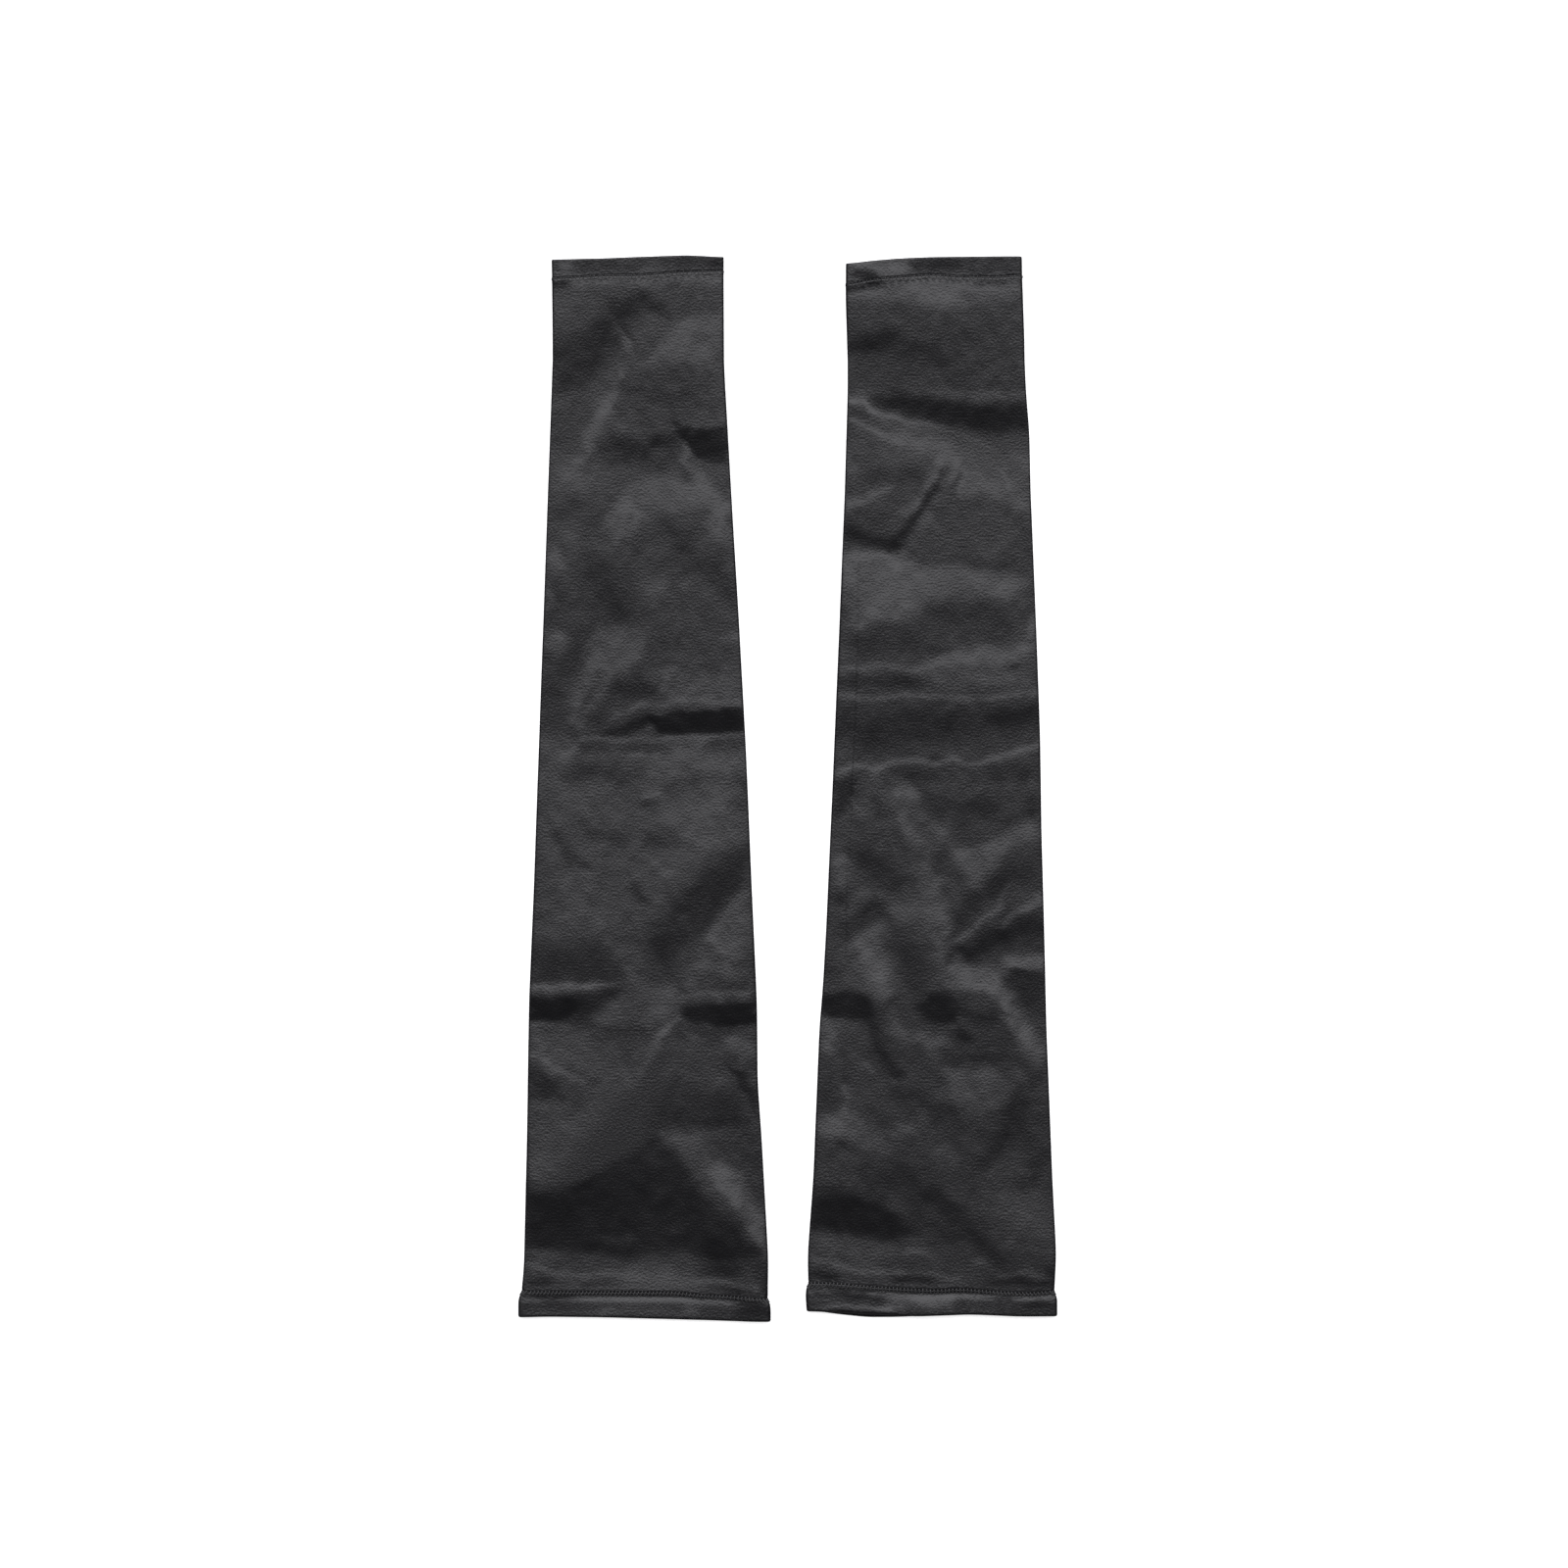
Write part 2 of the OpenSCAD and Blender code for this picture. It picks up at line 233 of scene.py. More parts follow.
# The folds of each front layer, as (tone, [(across, along, half width), ...]). A fold with a tone above 0
# leans to the hand end and catches the lamp. Some end with a skew, which makes the fold's edge towards the
# arm end the crisper one.
FOLDS = {
    "left": [
        # near the hand end
        (0.2, [(-36, 256.5, 2), (-20, 258, 2.2), (5, 258.5, 2.2), (20, 260, 2), (41, 261, 2)]),
        (0.6, [(-41, 266, 2), (-36, 266, 2)]),
        (-0.4, [(36, 268, 3), (41, 268, 3)]),
        (-0.8, [(-44, 257, 2), (-38, 257, 2)]),
        (-0.7, [(-44, 221, 9), (-31, 221, 9), (-22, 231, 8), (-12, 242, 7), (0, 249, 6), (8, 246, 4)]),
        (0.5, [(-14, 236, 1.2), (-10, 233, 1.5), (-8, 226, 1.2)]),
        (0.2, [(-6, 232, 4), (-12, 212, 5), (-20, 193, 6)]),
        (-0.4, [(-9, 236, 1.5), (-4, 224, 2)]),
        (-0.3, [(30, 232, 4), (38, 226, 4)]),
        (-0.3, [(-10, 205, 5), (8, 200, 5)]),
        # the forearm
        (0.65, [(-9, 212, 1), (-15, 201, 2.5), (-19, 194, 4.5), (-23, 186, 4.5), (-28, 177, 3),
         (-30, 168, 3)]),
        (-0.5, [(8, 178, 3), (16, 179, 4)]),
        (0.6, [(20.5, 176, 1), (23, 168, 2.2), (28, 161, 2.5), (36, 151, 3), (43, 143, 3)]),
        (-0.4, [(-17, 174, 5), (4, 175, 6)]),
        (-0.4, [(-44, 178, 3), (-37, 178, 2)]),
        (0.3, [(-7, 147, 2.5), (-10, 138, 2.5), (-11, 126, 1.2)]),
        (0.25, [(-45, 118, 9), (-36, 126, 8)]),
        (0.5, [(-46, 122, 3), (-43, 113, 3), (-47, 104, 2), (-47, 91, 2)]),
        (-0.4, [(14, 134, 5), (22, 122, 8), (34, 113, 7), (43, 102, 5), (47, 93, 3)]),
        (0.6, [(38, 136, 5), (44, 127, 4)]),
        (-0.45, [(-24, 112, 7), (-14, 99, 8), (-10, 89, 5)]),
        (0.5, [(-47, 75, 4), (-41, 76, 3)]),
        (-0.4, [(-33, 78, 3), (-34, 62, 2.5)]),
        (-0.5, [(20, 79, 1), (16, 72, 1)]),
        (0.5, [(44, 77, 4), (49, 77, 4)]),
        (0.3, [(-18, 194, 3), (-24, 184, 4), (-28, 176, 3)]),
        # near the elbow
        (0.35, [(-24, 64, 4), (-30, 52, 3), (-34, 42, 2.5), (-38, 35, 1.5)]),
        (0.2, [(-16, 60, 3), (-22, 46, 1.5)]),
        (-0.4, [(-20, 60, 1.2), (-28, 43, 1.2)]),
        (-0.5, [(-10, 51, 4), (4, 50, 4)]),
        (0.5, [(14, 61, 2), (10, 50, 2)]),
        (0.55, [(-16, 36, 1.2), (-3, 42, 1.6), (6, 42, 1.5), (18, 44, 1.6), (30, 46, 2), (42, 44, 1.8),
         (52, 43, 1.5)]),
        (0.5, [(-24, 26, 1), (5, 25.5, 1), (30, 25.5, 1), (52, 27, 1.2)]),
        (0.5, [(-40, 17, 1.5), (-30, 24, 1.5), (-22, 27, 1.2)]),
        (-0.5, [(-10, 21, 3), (8, 21, 3)]),
        (0.5, [(-8, 17, 1.2), (8, 17, 1.2)]),
        (-0.5, [(-29, 21, 3), (-19, 22, 3)]),
        (-0.5, [(38, 22, 4), (52, 23, 4)]),
        (-0.5, [(-36, 7, 4), (-22, 10, 6), (-8, 6, 6)]),
        (-0.5, [(16, 1, 6), (26, 2, 6)]),
        (0.6, [(0, -5, 0.9), (9, -3, 0.9)]),
        (-0.5, [(1, -8, 2), (8, -8, 2)]),
        (-0.5, [(50, 6, 4), (51, -10, 4)]),
        (-0.5, [(-43, -24, 4), (-35, -36, 4)]),
        (-0.5, [(-24, -24, 4), (-14, -25, 4)]),
        (-0.5, [(4, -27, 5), (18, -27, 5)]),
        (-0.5, [(-30, -40, 1.5), (-26, -40, 1.5)]),
        (-0.6, [(-3, -51, 3), (0, -57, 3)]),
        # the upper arm
        (0.4, [(36, -78, 3), (30, -86, 4), (25, -99, 3)]),
        (0.5, [(43, -85, 3), (43, -95, 3)]),
        (0.65, [(-57, -101, 1.5), (-35, -100.5, 1.5), (-14, -100, 1.2)]),
        (0.6, [(20, -107, 1), (35, -105, 1.3), (58, -103.5, 1.3)]),
        (0.1, [(-55, -127, 6), (-25, -128, 7)]),
        (0.45, [(18, -118, 1.5), (10, -126, 1.6), (4, -134, 1.6), (1, -144, 1.8), (-3, -156, 2)], 0.3),
        (0.5, [(-57, -136, 1.3), (-38, -146, 1.6), (-29, -150, 1.2)]),
        (0.3, [(-6, -152, 4), (-14, -166, 5), (-24, -180, 5)]),
        (-0.4, [(-2, -168, 4), (12, -173, 4)]),
        (0.4, [(5, -135, 1.5), (1, -146, 2), (-3, -158, 2.5), (-8, -170, 3)]),
        (-0.4, [(4, -160, 4), (16, -166, 4)]),
        (0.5, [(-56, -102, 2.5), (-36, -102, 2.5), (-15, -99, 3)]),
        (-0.35, [(22, -124, 4), (46, -124, 4)]),
        (-0.3, [(-48, -152, 6), (-26, -150, 5), (-34, -164, 5)]),
        (0.4, [(-57, -121, 2), (-38, -121, 2)]),
        (0.5, [(21, -122, 2), (26, -126, 2)]),
        (0.4, [(34, -90, 4), (54, -96, 4)]),
        (0.45, [(18, -117, 2.5), (9, -127, 2.5), (4, -138, 3), (0, -150, 4), (-7, -165, 5), (-14, -180, 5),
         (-22, -192, 4)], 0.2),
        (0.6, [(47, -128, 5), (56, -134, 5)]),
        (0.3, [(12, -178, 4), (27, -180, 4)]),
        # near the arm end
        (-0.8, [(-30, -203, 3), (-20, -193, 4), (-9, -185, 4)]),
        (-0.5, [(-62, -259.5, 1.2), (20, -260.5, 1.2), (62, -263, 1.2)]),
        (0.5, [(56, -246, 3), (61, -256, 3)]),
        (0.5, [(-18, -231, 3), (-6, -230, 3)]),
        (-0.5, [(-32, -234, 3), (-26, -235, 3)]),
        (-0.5, [(30, -247, 4), (48, -247, 4)]),
        (0.3, [(39, -193, 3), (48, -204, 3), (57, -219, 3), (64, -236, 3)]),
        (-0.5, [(44, -198.5, 1.2), (46, -201, 1)]),
        (0.6, [(-58, -243, 1.5), (-40, -248, 1.8), (-15, -247, 1.8), (0, -250, 1.8)]),
        (-0.7, [(-57, -252, 2.5), (-49, -252, 2)]),
        (-0.7, [(-28, -253.5, 2), (-12, -253.5, 2)]),
        (-0.7, [(33, -255.5, 2), (50, -256, 2)]),
        (0.6, [(20, -254, 1.3), (35, -251, 1.5), (60, -255, 1.3)]),
        (-0.5, [(-50, -262, 2), (-30, -262, 2)]),
        (0.7, [(-60, -267.5, 1), (-20, -267.5, 1)]),
        (0.9, [(-20, -263.5, 3.5), (28, -265, 3.5)]),
        (-0.5, [(50, -267, 3), (63, -268, 3)]),
    ],
    "right": [
        # near the hand end
        (0.6, [(-42, 267.5, 1), (-30, 268, 1.2)]),
        (-1.2, [(-39, 263, 2.5), (-32, 260.5, 3.5)]),
        (-1, [(-43, 255.5, 2), (-27, 257, 2)]),
        (0.5, [(-43, 252, 1.3), (-25, 253, 1.3)]),
        (0.7, [(-27, 265, 2.5), (-16, 265, 3.5)]),
        (-0.35, [(-8, 267, 2), (12, 267.5, 2)]),
        (0.15, [(-16, 255, 4), (-4, 256, 5), (6, 252, 4)]),
        (0.3, [(12, 257, 1.5), (22, 254.5, 1.8), (44, 255.5, 1.8)]),
        (-0.3, [(23, 258, 1.2), (38, 258, 1.2)]),
        (0.3, [(0, 249, 3), (12, 246, 4)]),
        (-0.8, [(-43, 227, 5), (-30, 227, 5), (-20, 231, 4)]),
        (-0.35, [(-15, 224, 5), (-2, 224, 5), (5, 217, 3)]),
        (-0.5, [(-42, 192.5, 1.8), (-33, 191, 1.5)]),
        # the forearm
        (-0.3, [(18, 187, 5), (34, 185, 6), (48, 186, 6)]),
        (1.1, [(-43, 198, 1.3), (-36, 197.5, 1.4), (-30, 193.5, 1.4), (-22, 190.5, 1.4), (-10, 187.5, 1.4),
         (0, 185, 1.4), (10, 182.5, 1.4), (20, 178.5, 1.6), (31, 173, 1.3)]),
        (0.7, [(-43, 188.5, 1.3), (-33, 184.5, 1.4), (-26, 179.5, 1.6), (-15, 177.5, 2.5)]),
        (0.5, [(-14, 177, 4), (0, 177, 5), (12, 172, 5)]),
        (0.5, [(41, 171, 5), (47, 165, 5)]),
        (0.9, [(32.5, 172, 0.9), (34.5, 166, 1), (38.5, 154, 1)]),
        (0.5, [(10, 168, 2), (12, 163, 2), (9, 156, 2)]),
        (0.6, [(17, 164, 1.5), (16, 156, 1.8), (15, 149, 1.5)]),
        (-0.5, [(14, 159, 1.2), (12, 154, 1.2)]),
        (0.6, [(4, 168, 3), (-1, 159, 2.5), (-5, 151, 2.5), (-12, 142, 3)]),
        (-0.85, [(3.5, 162, 1), (0, 153, 1.4), (-7, 143, 1.8), (-13, 134, 2.2), (-20, 125, 3)]),
        (0.4, [(-3, 141, 2.5), (-7, 132, 2.5)]),
        (0.2, [(18, 154, 4), (38, 154, 4)]),
        (0.4, [(42, 148, 4), (49, 144, 3)]),
        (0.6, [(-43, 144, 3), (-34, 148, 2.5), (-24, 154, 1.5)]),
        (0.4, [(-43, 167, 3), (-41, 163, 3)]),
        (-0.3, [(-35, 160, 6), (-10, 162, 6)]),
        (-0.3, [(-38, 140, 4), (-20, 141, 4)]),
        (-0.3, [(29, 114, 4), (38, 115, 4)]),
        (-0.9, [(-45, 131.5, 5), (-33, 128, 5), (-21, 124, 3.5)]),
        (0.7, [(-44, 119, 3), (-30, 119.5, 2.5), (-22, 119, 1.5)]),
        (0.6, [(-43, 112, 4), (-44, 106, 3)]),
        (0.6, [(-17, 118, 3), (-18, 113, 3)]),
        (0.35, [(-22, 107, 5), (-26, 96, 5), (-33, 87, 2.5), (-37, 83, 1)]),
        (0.35, [(-12, 108, 6), (-14, 96, 6), (-20, 87, 2)]),
        (0.2, [(-2, 105, 5), (10, 109, 4.5), (20, 106, 4.5), (32, 104, 5), (40, 102, 5)]),
        (0.7, [(51, 88, 2), (51, 79, 2.5)]),
        (-0.35, [(-35, 75, 6), (-10, 74, 6)]),
        (-0.35, [(3, 88, 5), (25, 88, 6), (32, 82, 5)]),
        (0.5, [(-48, 61.5, 1.3), (-40, 62, 1.6), (-25, 63, 2), (-15, 60, 1.8), (-5, 62, 2.5), (8, 65.5, 3),
         (25, 67, 3.5), (40, 68, 3.5), (52, 73, 3)]),
        (-0.4, [(41, 61, 1.5), (46, 62.5, 1.5)]),
        # near the elbow
        (-0.45, [(-47, 55, 3.5), (-20, 53.5, 3.5), (-5, 54.5, 3)]),
        (0.1, [(20, 55, 4), (48, 56, 4)]),
        (0.6, [(-49, 47, 1.5), (-38, 46.5, 1.3), (-30, 45, 1.3), (-15, 47.3, 1.3), (0, 46.7, 1.5),
         (19, 45, 1.5), (28, 46.5, 1.5), (40, 47.5, 1.8), (53, 49, 1.8)], 0.3),
        (-0.55, [(-48, 33, 9), (-25, 31, 11), (5, 33, 9), (30, 34, 8), (52, 38, 6)]),
        (-0.25, [(-38, 24, 6), (-24, 26, 7)]),
        (-0.3, [(30, 35, 3.5), (46, 38, 3.5)]),
        (0.85, [(-49, 8, 2), (-38, 12, 1.4), (-30, 10, 1.3), (-20, 13.5, 1.4), (-9, 15, 1.6), (0, 12.8, 1.3),
         (10, 16, 1.5), (16, 12, 1.3), (24, 12, 1.3), (38, 17, 1.8), (54, 22, 2.5)]),
        (-0.35, [(-12, 7, 2.5), (3, 6, 2.5)]),
        (-0.3, [(30, 6, 4), (50, 10, 4)]),
        (0.4, [(-38, -9, 2.5), (-36, -15, 2.5)]),
        (-0.35, [(-29, -5, 2), (-29, -14, 2)]),
        (0.6, [(-17, -2, 3.5), (-8, -3, 3)]),
        (0.35, [(-16, -13, 3), (-12, -20, 3), (-8, -29, 2)]),
        (0.5, [(1, -18, 3), (6, -24, 3)]),
        (-0.55, [(12, -9, 4), (28, -9, 4)]),
        (-0.5, [(53, -12, 3), (50, -8, 3)]),
        (-0.5, [(-40, -33, 5), (-28, -41, 6), (-19, -49, 5)]),
        (0.55, [(-48, -36, 4), (-48, -48, 4)]),
        (-0.4, [(-50, -56, 3), (-46, -57, 3)]),
        (0.4, [(-38, -53, 3), (-28, -54, 3)]),
        (0.65, [(-4, -40, 2.5), (1, -50, 3), (4, -60, 3), (5, -78, 3)]),
        (0.2, [(48, -20, 3), (37, -26, 4), (25, -34, 5), (20, -47, 4)]),
        (0.4, [(13, -33, 2.5), (14, -40, 2.5)]),
        (-0.45, [(48, -40, 5), (35, -46, 5), (22, -56, 4.5), (13, -67, 3.5), (9, -76, 2)]),
        # the upper arm
        (-0.45, [(-30, -60, 3), (-38, -67, 4), (-45, -74, 4)]),
        (0.4, [(-27, -71, 4), (-32, -82, 6), (-29, -97, 6)]),
        (0.55, [(-28, -90, 3.5), (-25, -104, 3.5)]),
        (-0.35, [(-14, -76, 5), (-14, -88, 6), (-10, -98, 5)]),
        (0.35, [(-18, -64, 4), (-6, -62, 5)]),
        (0.8, [(11, -77.5, 1), (17, -73, 1.5), (26, -65.5, 1.7), (32, -61, 2), (36, -50, 1.8)]),
        (0.8, [(34.5, -72, 0.9), (37, -67, 1.5), (45, -62.5, 1.8), (56, -56, 3)]),
        (-0.9, [(12, -81.5, 2), (18, -85, 4.5), (28, -78, 5), (34, -75, 4)]),
        (-0.8, [(36, -77, 3), (45, -71, 6), (56, -70, 6)]),
        (-0.7, [(7.5, -90, 0.8), (9, -85, 0.8)]),
        (0.45, [(2, -86, 3.5), (5, -97, 3.5)]),
        (0.35, [(14, -96, 5), (32, -94, 5)]),
        (0.9, [(37, -88, 3), (56, -87, 3)]),
        (0.6, [(5, -80, 3), (7, -92, 3)]),
        (0.7, [(38, -90, 1.5), (57, -92, 2)]),
        (0.6, [(-46, -152, 1.2), (-45, -166, 1.5)]),
        (0.4, [(36, -108, 3), (42, -120, 3), (47, -128, 3)]),
        (-0.35, [(6, -138, 4), (32, -139, 4)]),
        (0.4, [(33, -97, 3), (35, -106, 3), (41, -117, 3.5), (47, -128, 3.5), (53, -139, 3)]),
        (-0.6, [(-32, -119, 3.5), (-29, -128, 3), (-25, -138, 3.5), (-19, -146, 3)]),
        (-0.5, [(19, -116, 3.5), (30, -117, 3.5)]),
        (-0.8, [(15, -127, 4), (18, -128, 3)]),
        (0.55, [(-23, -121, 2.5), (-17, -126, 3.5), (-11, -128, 3)]),
        (0.5, [(-28, -106, 3), (-22, -114, 3), (-16, -122, 3)]),
        (0.4, [(8, -101, 3), (22, -102, 4), (34, -104, 4), (42, -112, 4)]),
        (0.5, [(-6, -126, 3), (-1, -132, 3.5), (5, -126, 3)]),
        (0.8, [(-54, -119, 3.5), (-54, -133, 3.5)]),
        (0.6, [(-35, -140.5, 1.2), (-31, -144, 1.5)]),
        (0.3, [(43, -146, 4), (48, -150, 3)]),
        (-0.45, [(-18, -155, 4), (-6, -158, 3)]),
        (-0.35, [(0, -162, 5), (8, -168, 4)]),
        (-0.3, [(-55, -155, 3), (-52, -162, 3)]),
        (0.35, [(-58, -172, 4), (-46, -172, 4.5)]),
        (0.5, [(-45, -157, 1.2), (-44, -166, 1.5)]),
        (0.55, [(-16, -174, 3.5), (-12, -173, 3.5)]),
        (-0.35, [(-49, -181, 1.5), (-38, -186, 2)]),
        (0.3, [(2, -185, 4), (9, -187, 4)]),
        (-0.55, [(41, -162, 5), (40, -174, 5), (33, -182, 4.5), (28, -191, 3.5)]),
        # near the arm end
        (-0.7, [(-58, -258, 1.2), (-40, -259.5, 1.5), (-24, -260.5, 1.2)]),
        (-0.5, [(12, -259, 1.2), (40, -260.5, 1.2)]),
        (-0.45, [(-60, -205, 4), (-25, -208, 4)]),
        (-0.45, [(-34, -196, 6), (-15, -200, 8), (-5, -205, 7)]),
        (-0.4, [(56, -188, 3.5), (50, -196, 4), (46, -204, 3)]),
        (-0.55, [(1, -207, 5), (10, -217, 6), (18, -225, 6), (25, -234, 5), (32, -241, 4)]),
        (-0.35, [(-8, -218, 6), (5, -228, 6)]),
        (0.5, [(-14, -236, 2.5), (-4, -235.5, 2.5)]),
        (0.5, [(18, -241, 1.5), (26, -241, 1.5)]),
        (0.3, [(-55, -234, 4), (-25, -237, 4)]),
        (0.4, [(42, -212, 7), (56, -222, 7)]),
        (0.55, [(-61, -239, 1.5), (-50, -243, 2), (-38, -247, 1.8), (-20, -246.8, 1.5), (0, -247.5, 1.5),
         (10, -250.5, 1.8)]),
        (-0.9, [(-60, -249, 2.5), (-50, -249, 2)]),
        (-0.7, [(-20, -250.5, 2), (-3, -250.5, 2)]),
        (-0.6, [(31, -252, 2), (60, -252, 2.2)]),
        (-0.6, [(60, -245, 3), (62, -248, 3)]),
        (0.55, [(33, -249.5, 1.2), (45, -246.5, 1.5), (56, -248.5, 1.2), (62, -251, 1)]),
        (0.5, [(-10, -260, 1), (10, -258.7, 1), (33, -258.8, 1)]),
        (0.6, [(42, -259.8, 1), (62, -259, 1)]),
        (0.85, [(-22, -263, 3), (8, -262, 3.5)]),
        (-0.6, [(-50, -257.5, 1.8), (-36, -258.5, 1.8)]),
        (1.3, [(-61, -265.5, 1.1), (-54, -264, 1.2), (-44, -264.3, 1.2), (-20, -265.8, 1.1)]),
        (-0.7, [(-58, -267.3, 0.9), (-20, -268.3, 1)]),
        (-0.35, [(50, -263, 2.5), (58, -262, 2.5)]),
    ],
}

